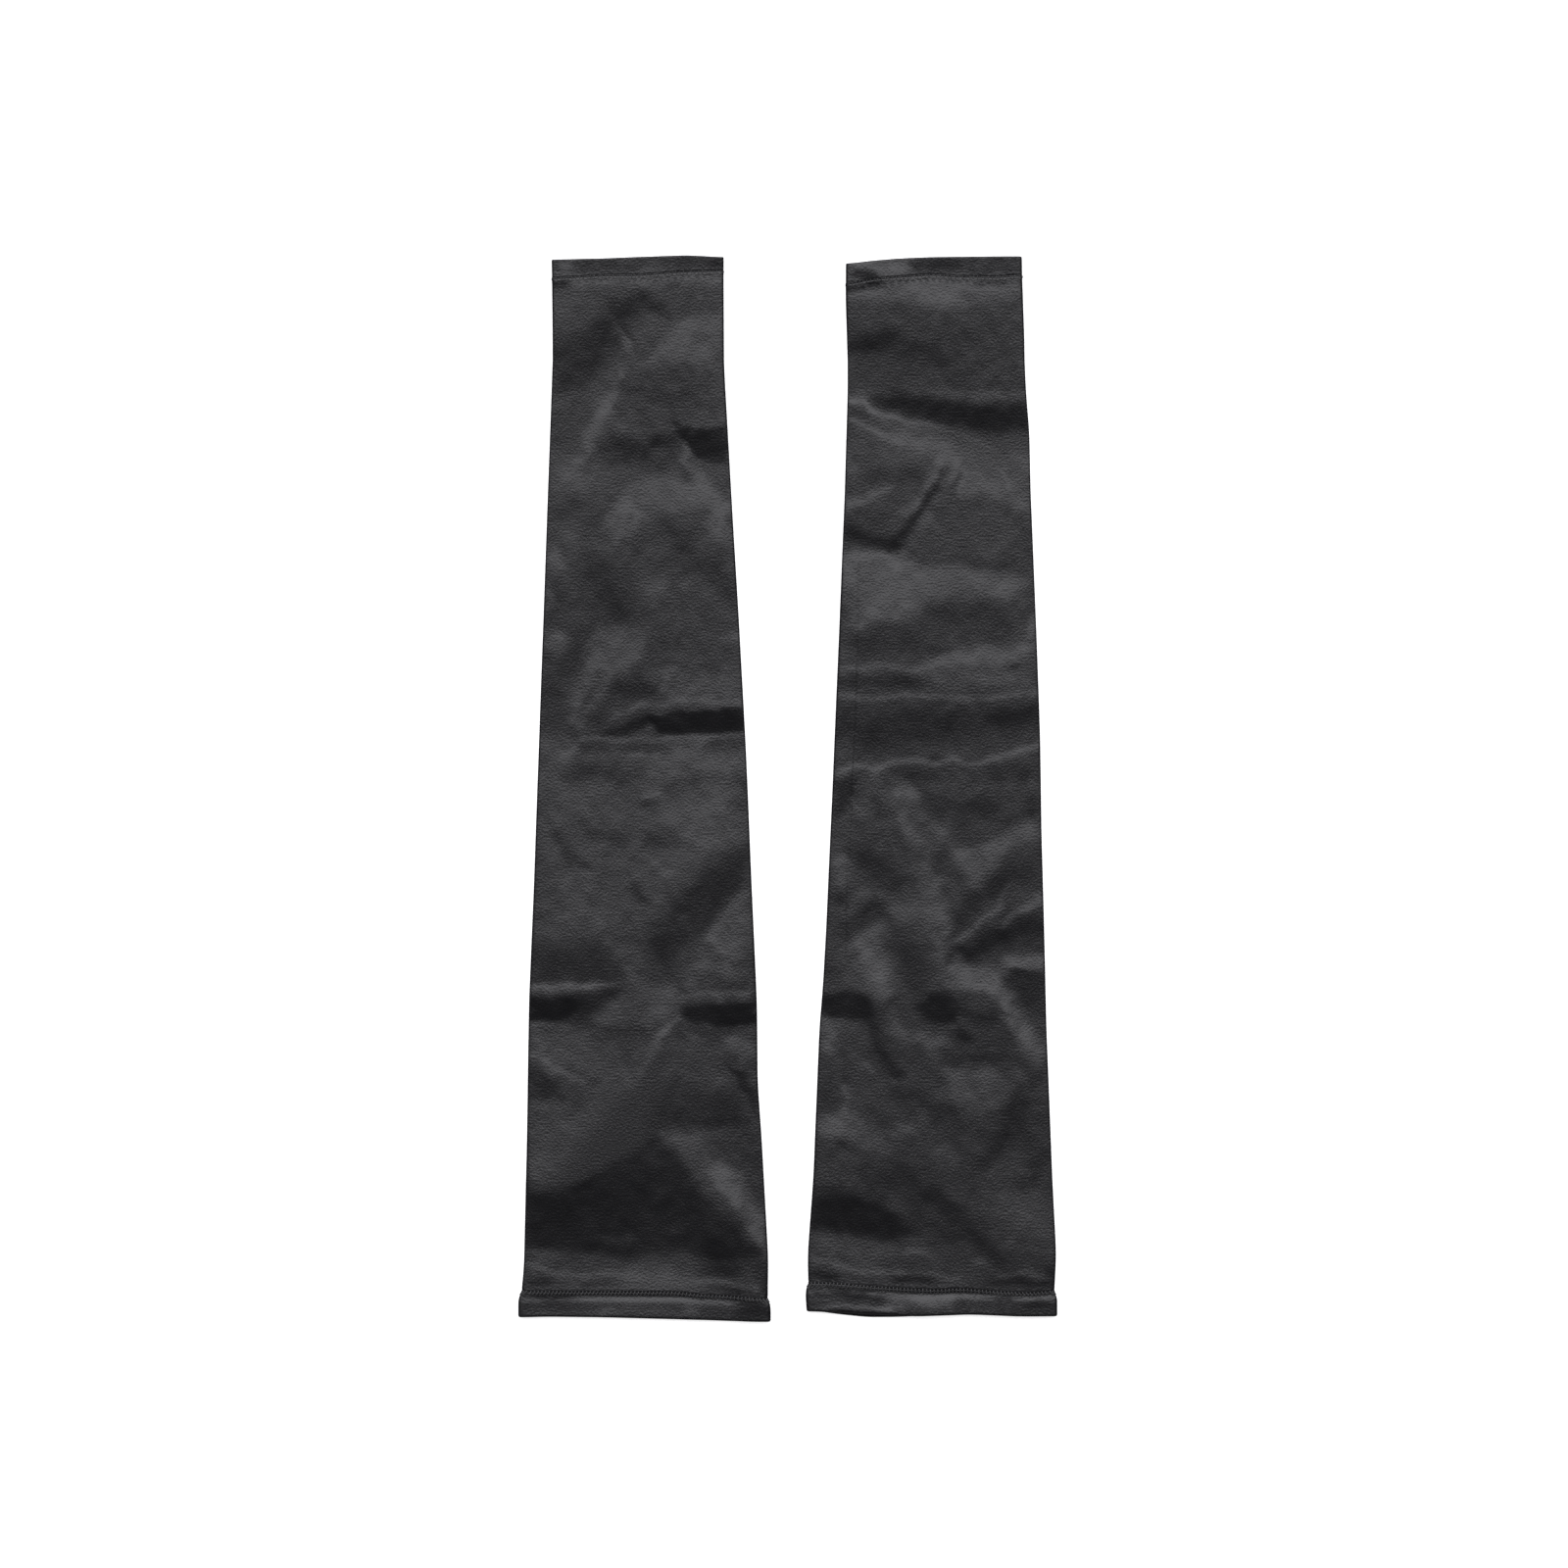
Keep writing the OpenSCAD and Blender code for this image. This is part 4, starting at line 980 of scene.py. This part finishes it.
def satin_material():
    """Black satin: a tight weave with a soft sheen that is tighter along the glove than across it."""
    material, tree, shader = new_material("black_satin", (0.006, 0.0058, 0.0065), 0.4)
    shader.inputs["Anisotropic"].default_value = 0.45
    tangent = tree.nodes.new("ShaderNodeTangent")
    tangent.direction_type = "UV_MAP"
    tangent.uv_map = "cloth"
    tree.links.new(tangent.outputs["Tangent"], shader.inputs["Tangent"])

    cloth = cloth_coordinates(tree, 1, 1)
    cloudy = add_node(tree, "ShaderNodeTexNoise", Vector=cloth, Scale=90.0, Detail=4.0, Roughness=0.6)
    tone = two_tones(tree, cloudy.outputs["Fac"], (0.0045, 0.0043, 0.005), (0.008, 0.0078, 0.0088))
    specks = add_node(tree, "ShaderNodeTexVoronoi", Vector=cloth, Scale=32.0)
    is_speck = math_node(tree, "LESS_THAN", specks.outputs["Distance"], 0.009)
    pick = add_node(tree, "ShaderNodeSeparateColor", Color=specks.outputs["Color"])
    is_kept = math_node(tree, "GREATER_THAN", pick.outputs["Red"], 0.82)
    lint = add_node(tree, "ShaderNodeMixRGB", Fac=math_node(tree, "MULTIPLY", is_speck, is_kept),
                    Color1=tone, Color2=(0.3, 0.3, 0.3, 1))
    tree.links.new(lint.outputs["Color"], shader.inputs["Base Color"])
    shine = add_node(tree, "ShaderNodeMapRange", Value=cloudy.outputs["Fac"], To_Min=0.30, To_Max=0.36)
    tree.links.new(shine.outputs["Result"], shader.inputs["Roughness"])

    grain = add_node(tree, "ShaderNodeTexNoise", Vector=cloth_coordinates(tree, 800, 900), Scale=1.0,
                     Detail=1.0, Roughness=0.5)
    slubs = add_node(tree, "ShaderNodeTexNoise", Vector=cloth_coordinates(tree, 110, 520), Scale=1.0,
                     Detail=1.0)
    floats = add_node(tree, "ShaderNodeTexWave", Vector=cloth_coordinates(tree, 1700, 1000), Scale=1.0,
                      Distortion=1.5, Detail_Scale=2.0)
    normal = add_bump(tree, floats.outputs["Fac"], 0.00001, 0.5)
    normal = add_bump(tree, slubs.outputs["Fac"], 0.00002, 0.7, normal)
    normal = add_bump(tree, grain.outputs["Fac"], 0.00017, 1.0, normal)
    tree.links.new(normal, shader.inputs["Normal"])
    return material


def thread_material():
    """Black polyester thread, with its twist."""
    material, tree, shader = new_material("black_thread", (0.03, 0.03, 0.0312), 0.5)
    where = tree.nodes.new("ShaderNodeTexCoord")
    twist = add_node(tree, "ShaderNodeTexWave", Vector=where.outputs["Object"], Scale=900.0, Distortion=0.6)
    normal = add_bump(tree, twist.outputs["Fac"], 0.00005, 0.6)
    tree.links.new(normal, shader.inputs["Normal"])
    tone = two_tones(tree, twist.outputs["Fac"], (0.022, 0.022, 0.023), (0.038, 0.038, 0.0395))
    tree.links.new(tone, shader.inputs["Base Color"])
    return material


def elastic_material():
    """Ribbed woven elastic."""
    material, tree, shader = new_material("woven_elastic", (0.02, 0.02, 0.022), 0.7)
    ribs = add_node(tree, "ShaderNodeTexWave", Vector=cloth_coordinates(tree, 1, 1), Scale=320.0,
                    Distortion=0.3)
    ribs.bands_direction = "Y"
    normal = add_bump(tree, ribs.outputs["Fac"], 0.0002, 0.8)
    tree.links.new(normal, shader.inputs["Normal"])
    tone = two_tones(tree, ribs.outputs["Fac"], (0.012, 0.012, 0.014), (0.03, 0.03, 0.034))
    tree.links.new(tone, shader.inputs["Base Color"])
    return material


# ---------------------------------------------------------------- the pieces of a glove


def sleeve_rows():
    """Shares of the way down the sleeve for its rows, closer together next to the hems."""
    length = wrist_seam_y - arm_seam_y
    near = np.array(near_rows) / length
    middle = np.linspace(middle_start / length, 1 - middle_start / length, middle_rows)
    return np.concatenate([near, middle, 1 - near[::-1]])


def hem_dip(end, distance):
    """How deep the hem stitches pull the cloth in. The distance from their line is below 0 on the sleeve."""
    at_wrist = end == "wrist"
    depth = wrist_groove if at_wrist else arm_groove
    sleeve_reach, hem_reach = wrist_reach if at_wrist else arm_reach
    past = distance - (wrist_shift if at_wrist else arm_shift)
    reach = np.where(past < 0, sleeve_reach, hem_reach)
    lip = groove_lip * np.exp(-(((past + lip_place * sleeve_reach) / lip_width) ** 2))
    return depth * np.exp(-((past / reach) ** 2)) - lip


def make_sleeve(glove, material):
    """The satin tube: an outer skin, and a coarser inner skin that it is joined to at both ends."""
    flip = not glove.seam_at_left
    length = wrist_seam_y - arm_seam_y
    all_rows, all_columns = sleeve_rows(), around_columns(*sleeve_columns, close=show_columns)
    points, faces, uvs, skins = [], [], [], []
    for step, inside, inside_out in ((1, 0, flip), (2, cloth_thick, not flip)):
        rows, columns = all_rows[::step], all_columns[::step]
        depth = hem_dip("wrist", -rows * length) + hem_dip("arm", (rows - 1) * length) + inside
        x, y, z = glove.place(columns[None, :], "wrist_seam", "arm_seam", rows[:, None], depth[:, None])
        cloth = weave_map(x, y, z, columns)
        first = len(points)
        skin_faces, skin_uvs = tube_faces(len(rows), len(columns), cloth, first, inside_out)
        points += point_list(x, y, z).tolist()
        faces += skin_faces
        uvs += skin_uvs
        skins.append((first, len(rows), len(columns), cloth))

    inner_around = skins[1][2]
    for at_wrist in (True, False):
        for j in range(inner_around):
            face, corners = [], []
            for skin, columns in ((skins[0], (2 * j, 2 * j + 1, 2 * j + 2)), (skins[1], (j + 1, j))):
                first, count, around, (round_it, along) = skin
                row = 0 if at_wrist else count - 1
                face += [first + row * around + c % around for c in columns]
                corners += [(round_it[row, c], along[row, c]) for c in columns]
            if at_wrist != flip:
                face.reverse()
                corners.reverse()
            faces.append(face)
            uvs += corners
    return make_piece(glove.side + "_satin_sleeve", points, faces, material, uvs)


def hem_profile(end, height, thick, ply):
    """(share, depth) round a turned hem: out over its face, round its folded edge, back inside, and round
    the casing between its two plies, which is open at the stitches."""
    face = np.concatenate([np.linspace(0, *hem_fine_rows),
                           np.linspace(hem_coarse_rows[0], height - thick / 2, hem_coarse_rows[1])])
    outside = [(d / height, hem_dip(end, d)) for d in face]
    turn = [(1 - (thick / 2) * (1 - math.sin(a)) / height, thick / 2 * (1 - math.cos(a)))
            for a in np.radians(np.arange(20, 181, 20))]
    inside = [(d / height, thick) for d in np.linspace(height - thick, 0, 6)]
    casing_end = height - ply - thick / 2
    inner_wall = [(d / height, thick - ply) for d in np.linspace(0, casing_end, 5)]
    outer_wall = [(d / height, ply + hem_dip(end, d)) for d in np.linspace(casing_end, 0, 8)]
    return outside + turn + inside + inner_wall + outer_wall


def make_hem(glove, end, height, thick, ply, material):
    """A turned hem, from the stitch line to the folded edge."""
    profile = hem_profile(end, height, thick, ply)
    name = f"{glove.side}_{end}_satin_hem"
    columns = around_columns(*hem_columns)
    return glove_band(glove, name, profile, end + "_seam", end + "_edge", columns, material)


def make_elastic(glove, material):
    """The tape in the arm hem's casing."""
    height = arm_seam_y - arm_edge_y
    start = height - arm_ply - arm_hem_thick / 2 - elastic_width
    outer = arm_ply + (arm_hem_thick - 2 * arm_ply - elastic_thick) / 2
    inner = outer + elastic_thick
    places = np.linspace(start, start + elastic_width, 6) / height
    profile = [(p, outer) for p in places] + [(p, inner) for p in places[::-1]]
    return glove_band(glove, glove.side + "_woven_elastic", profile, "arm_seam", "arm_edge",
                      around_columns(*tape_columns), material)


def even_places(glove, first, second, share, pitch):
    """Places round the tube, a pitch apart, that come back to where they start."""
    fine = np.linspace(0, 4, 4001)
    x, y, z = glove.place(fine, first, second, share, 0.0)
    run = np.concatenate([[0], np.cumsum(np.hypot(np.hypot(np.diff(x), np.diff(y)), np.diff(z)))])
    count = round(run[-1] / pitch)
    return np.interp(np.arange(count) * run[-1] / count, run, fine), run[-1] / count


def thread_mesh(name, path, outward, radius, material, closed, sides=6):
    """A round thread along a path, with the cloth's outward direction at each of its points."""
    if closed:
        ahead = np.roll(path, -1, axis=0) - np.roll(path, 1, axis=0)
    else:
        ahead = np.gradient(path, axis=0)
    ahead /= np.linalg.norm(ahead, axis=1)[:, None]
    beside = np.cross(ahead, outward)
    beside /= np.linalg.norm(beside, axis=1)[:, None]
    above = np.cross(beside, ahead)
    turns = [2 * math.pi * k / sides for k in range(sides)]
    rings = np.stack([path + radius * (math.cos(t) * above + math.sin(t) * beside) for t in turns], axis=1)
    faces, _ = tube_faces(len(path), sides, closed_rows=closed)
    if not closed:
        last = (len(path) - 1) * sides
        faces += [list(range(sides))[::-1], list(range(last, last + sides))]
    return make_piece(name, rings.reshape(-1, 3), faces, material)


def make_hem_stitches(glove, end, height, half_width, radius, material):
    """A row of bars across a hem's groove. The thread crosses on the face and moves on under the cloth."""
    first, second = end + "_seam", end + "_edge"
    starts, pitch = even_places(glove, first, second, 0.0, bar_pitch)
    steps = np.append(starts[1:], 4.0) - starts
    under = radius + under_gap
    # The way of one stitch, as (share of the stitch, share of the bar's half height, depth in the cloth).
    bar = [(0.0, -1.0, under), (0.03, -0.9, -0.05), (0.10, -0.45, -0.14), (0.16, 0.0, -0.17),
           (0.22, 0.45, -0.14), (0.29, 0.9, -0.05), (bar_share, 1.0, under), (0.5, 0.6, under + 0.1),
           (0.7, -0.2, under + 0.15), (0.9, -0.9, under + 0.1)]
    forward, across, deep = (np.array(values) for values in zip(*bar))
    on_face = forward <= bar_share
    forward = forward * (bar_lean / bar_share / pitch) * on_face + forward * ~on_face
    around = (starts[:, None] + steps[:, None] * forward[None, :]).ravel()
    centre = 0 if end == "wrist" else arm_shift - 0.6 * arm_reach[0]
    distance = np.tile(centre + across * half_width, len(starts))
    depth = np.tile(deep, len(starts)) + 0.6 * hem_dip(end, distance)
    path = np.stack(glove.place(around, first, second, distance / height, depth), axis=-1)
    path[:, 2] = np.maximum(path[:, 2], radius + 0.02)
    outer = np.stack(glove.place(around, first, second, distance / height, depth - 1), axis=-1)
    return thread_mesh(f"{glove.side}_{end}_stitch_thread", path, outer - path, radius, material, True)


def seam_inset(glove, y, inset):
    """The place across the glove that is a distance in from its seam side."""
    if glove.seam_at_left:
        return -glove.outline(y, "left") + inset
    return glove.outline(y, "right") - inset


def allowance_height(glove, x, y, inset):
    """Height of the underside of the seam allowance, which lies inside on the back layer."""
    curl = allowance_curl * smooth_step(inset, allowance_start, allowance_end)
    return glove.back(x, y) + cloth_thick + 0.06 + curl


def make_allowance(glove, material):
    """The seam allowance: two plies joined at the seam, with a slightly wavy raw edge."""
    low, mid_low = 0.0, allowance_ply
    mid_high, high = allowance_ply + allowance_gap, 2 * allowance_ply + allowance_gap
    insets = np.linspace(allowance_start, allowance_end, 5)
    slit = allowance_start + allowance_ply
    inner = np.linspace(allowance_end, slit, 5)
    profile = ([(d, low) for d in insets] + [(d, mid_low) for d in inner]
               + [(d, mid_high) for d in inner[::-1]] + [(d, high) for d in insets[::-1]])
    top_y, low_y = wrist_seam_y - allowance_stop[0], arm_seam_y + allowance_stop[1]
    y = np.linspace(top_y, low_y, allowance_rows)[:, None]
    inset, rise = (np.array(values)[None, :] for values in zip(*profile))
    share = (inset - allowance_start) / (allowance_end - allowance_start)
    wave = sum(distance * np.sin(y / length) for distance, length in allowance_waves)
    inset = inset + wave * share
    x = seam_inset(glove, y, inset)
    y = y + 0 * inset
    z = allowance_height(glove, x, y, inset) + rise
    rows, around = x.shape
    flip = not glove.seam_at_left
    cloth = [np.concatenate([values, values[:, :1]], axis=1) for values in (inset, y)]
    faces, uvs = tube_faces(rows, around, cloth, inside_out=flip)
    cells = [(k, around - 1 - k) for k in range(around // 2)]
    for first, at_start in ((0, True), ((rows - 1) * around, False)):
        for (a, b), (c, d) in zip(cells, cells[1:]):
            face = [first + a, first + c, first + d, first + b]
            if at_start == flip:
                face.reverse()
            faces.append(face)
            uvs += [(0.0, 0.0)] * 4
    points = point_list(x + glove.middle, y, z)
    return make_piece(glove.side + "_seam_allowance", points, faces, material, uvs)


def make_overlock(glove, material):
    """The overlock thread, which winds round the allowance's raw edge."""
    per_turn = 10
    length = wrist_seam_y - arm_seam_y - sum(overlock_stop)
    turns = round(length / overlock_pitch)
    angle = 2 * math.pi * np.arange(turns * per_turn) / per_turn
    y = wrist_seam_y - overlock_stop[0] - length * np.arange(turns * per_turn) / (turns * per_turn)
    inset = allowance_end - 0.4 + overlock_loop[0] * np.cos(angle)
    x = seam_inset(glove, y, inset)
    middle = allowance_height(glove, x, y, allowance_end) + allowance_ply + 0.05
    z = middle + overlock_loop[1] * np.sin(angle)
    path = np.stack([x + glove.middle, y, z], axis=-1)
    outward = np.stack([np.cos(angle) * (1 if glove.seam_at_left else -1), 0 * angle, np.sin(angle)], axis=-1)
    name = glove.side + "_overlock_winding"
    return thread_mesh(name, path, outward, overlock_thread, material, False, sides=5)


# ---------------------------------------------------------------- stage, light and camera

view_width = 0.8           # how much of the table the picture takes in, in metres
view_distance = 3.2
view_shift = (-0.00175, 0.00225)
sensor_width = 36.0
# The light's height in the sky is a sine, and so is how far a part of it is towards the hand end.
lamp_fade = 8.8            # doublings of brightness for each unit towards the hand end
lamp_dark_end = -0.36      # where the fading stops at its darkest
lamp_bright_end = 0.29     # and where it stops at its brightest
lamp_middle = 0.515        # brightness straight overhead
horizon_low = 0.2          # the light dims between these two heights
horizon_high = 0.55
horizon_dim = 0.12         # what is left of it at the lower one
box_near = 0.45            # the soft light's sides: full up to here, and faded to box_dim from box_far on
box_far = 0.9
box_dim = 0.4
fill_near = -0.35          # the low fill behind the arm end starts here
fill_far = -0.6            # and is full from here on
fill_light = 0.2
lamp_colour = (0.985, 0.98, 1.02, 1)
floor_reach = 4000
floor_glow = 0.75


def make_camera():
    """Straight above the gloves, and far enough off that they look almost flat."""
    data = bpy.data.cameras.new("camera")
    data.sensor_width = sensor_width
    data.lens = sensor_width * view_distance / view_width
    camera = bpy.data.objects.new("camera", data)
    bpy.context.scene.collection.objects.link(camera)
    middle = (cad_low + cad_high) / 2
    camera.location = (middle.x + view_shift[0], middle.y + view_shift[1], mid_loft * MM + view_distance)
    bpy.context.scene.camera = camera


def make_floor():
    """A pale table that glows a little, so that it stays even and white."""
    material, tree, shader = new_material("pale_table", (0.9, 0.9, 0.9), 0.9)
    shader.inputs["Specular IOR Level"].default_value = 0.0
    shader.inputs["Emission Color"].default_value = (1, 1, 1, 1)
    shader.inputs["Emission Strength"].default_value = floor_glow
    corners = [(x * floor_reach, y * floor_reach, 0) for x, y in ((-1, -1), (1, -1), (1, 1), (-1, 1))]
    floor = make_piece("pale_floor", corners, [[0, 1, 2, 3]], material, smooth=False)
    floor.visible_glossy = False


def make_studio():
    """A wide soft light over the hand end. It fades evenly, stop by stop, towards the arm end, and it also
    fades past its two sides and towards the horizon all round. A weak fill stands low behind the arm end."""
    world = bpy.data.worlds.new("studio")
    world.use_nodes = True
    tree = world.node_tree
    where = tree.nodes.new("ShaderNodeTexCoord")
    parts = add_node(tree, "ShaderNodeSeparateXYZ", Vector=where.outputs["Generated"])
    stops = add_node(tree, "ShaderNodeMapRange", Value=parts.outputs["Y"],
                     From_Min=lamp_dark_end, From_Max=lamp_bright_end,
                     To_Min=lamp_dark_end * lamp_fade, To_Max=lamp_bright_end * lamp_fade)
    doubling = math_node(tree, "POWER", 2.0, stops.outputs["Result"])
    horizon = add_node(tree, "ShaderNodeMapRange", Value=parts.outputs["Z"],
                       From_Min=horizon_low, From_Max=horizon_high, To_Min=horizon_dim, To_Max=1.0)
    horizon.interpolation_type = "SMOOTHSTEP"
    sideways = math_node(tree, "ABSOLUTE", parts.outputs["X"], 0.0)
    box_side = add_node(tree, "ShaderNodeMapRange", Value=sideways,
                        From_Min=box_near, From_Max=box_far, To_Min=1.0, To_Max=box_dim)
    box_side.interpolation_type = "SMOOTHSTEP"
    lamp = math_node(tree, "MULTIPLY", doubling, lamp_middle)
    lamp = math_node(tree, "MULTIPLY", lamp, horizon.outputs["Result"])
    lamp = math_node(tree, "MULTIPLY", lamp, box_side.outputs["Result"])
    behind = add_node(tree, "ShaderNodeMapRange", Value=parts.outputs["Y"],
                      From_Min=fill_far, From_Max=fill_near, To_Min=fill_light, To_Max=0.0)
    below = math_node(tree, "SUBTRACT", 1.0, horizon.outputs["Result"])
    lamp = math_node(tree, "ADD", lamp, math_node(tree, "MULTIPLY", behind.outputs["Result"], below))
    tree.links.new(lamp, tree.nodes["Background"].inputs["Strength"])
    tree.nodes["Background"].inputs["Color"].default_value = lamp_colour
    bpy.context.scene.world = world
    bpy.context.scene.view_settings.view_transform = "Standard"


# ---------------------------------------------------------------- build

satin, thread, elastic = satin_material(), thread_material(), elastic_material()
make_camera()
make_studio()
make_floor()

for number, side in enumerate(SIDES):
    glove = Glove(side, 10 * (number + 1))
    forearm, upper_arm = side + "_forearm", side + "_upper_arm"
    wrist_height, arm_height = wrist_edge_y - wrist_seam_y, arm_seam_y - arm_edge_y

    sleeve = make_sleeve(glove, satin)
    allowance = make_allowance(glove, satin)
    overlock = make_overlock(glove, thread)
    for piece, part in ((sleeve, "sleeve"), (allowance, "seam_allowance"), (overlock, "overlock_thread")):
        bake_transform(piece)
        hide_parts(f"{forearm}_{part}", f"{upper_arm}_{part}")

    wrist_hem = make_hem(glove, "wrist", wrist_height, wrist_hem_thick, wrist_ply, satin)
    wrist_stitches = make_hem_stitches(glove, "wrist", wrist_height, wrist_bar, wrist_thread, thread)
    arm_hem = make_hem(glove, "arm", arm_height, arm_hem_thick, arm_ply, satin)
    arm_stitches = make_hem_stitches(glove, "arm", arm_height, arm_bar, arm_thread, thread)
    tape = make_elastic(glove, elastic)
    for piece, body, node in ((wrist_hem, forearm, "_wrist_hem"),
                              (wrist_stitches, forearm, "_wrist_hem_stitches"),
                              (arm_hem, upper_arm, "_arm_hem"),
                              (arm_stitches, upper_arm, "_arm_hem_stitches"),
                              (tape, upper_arm, "_arm_elastic")):
        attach(piece, body)
        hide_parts(side + node)
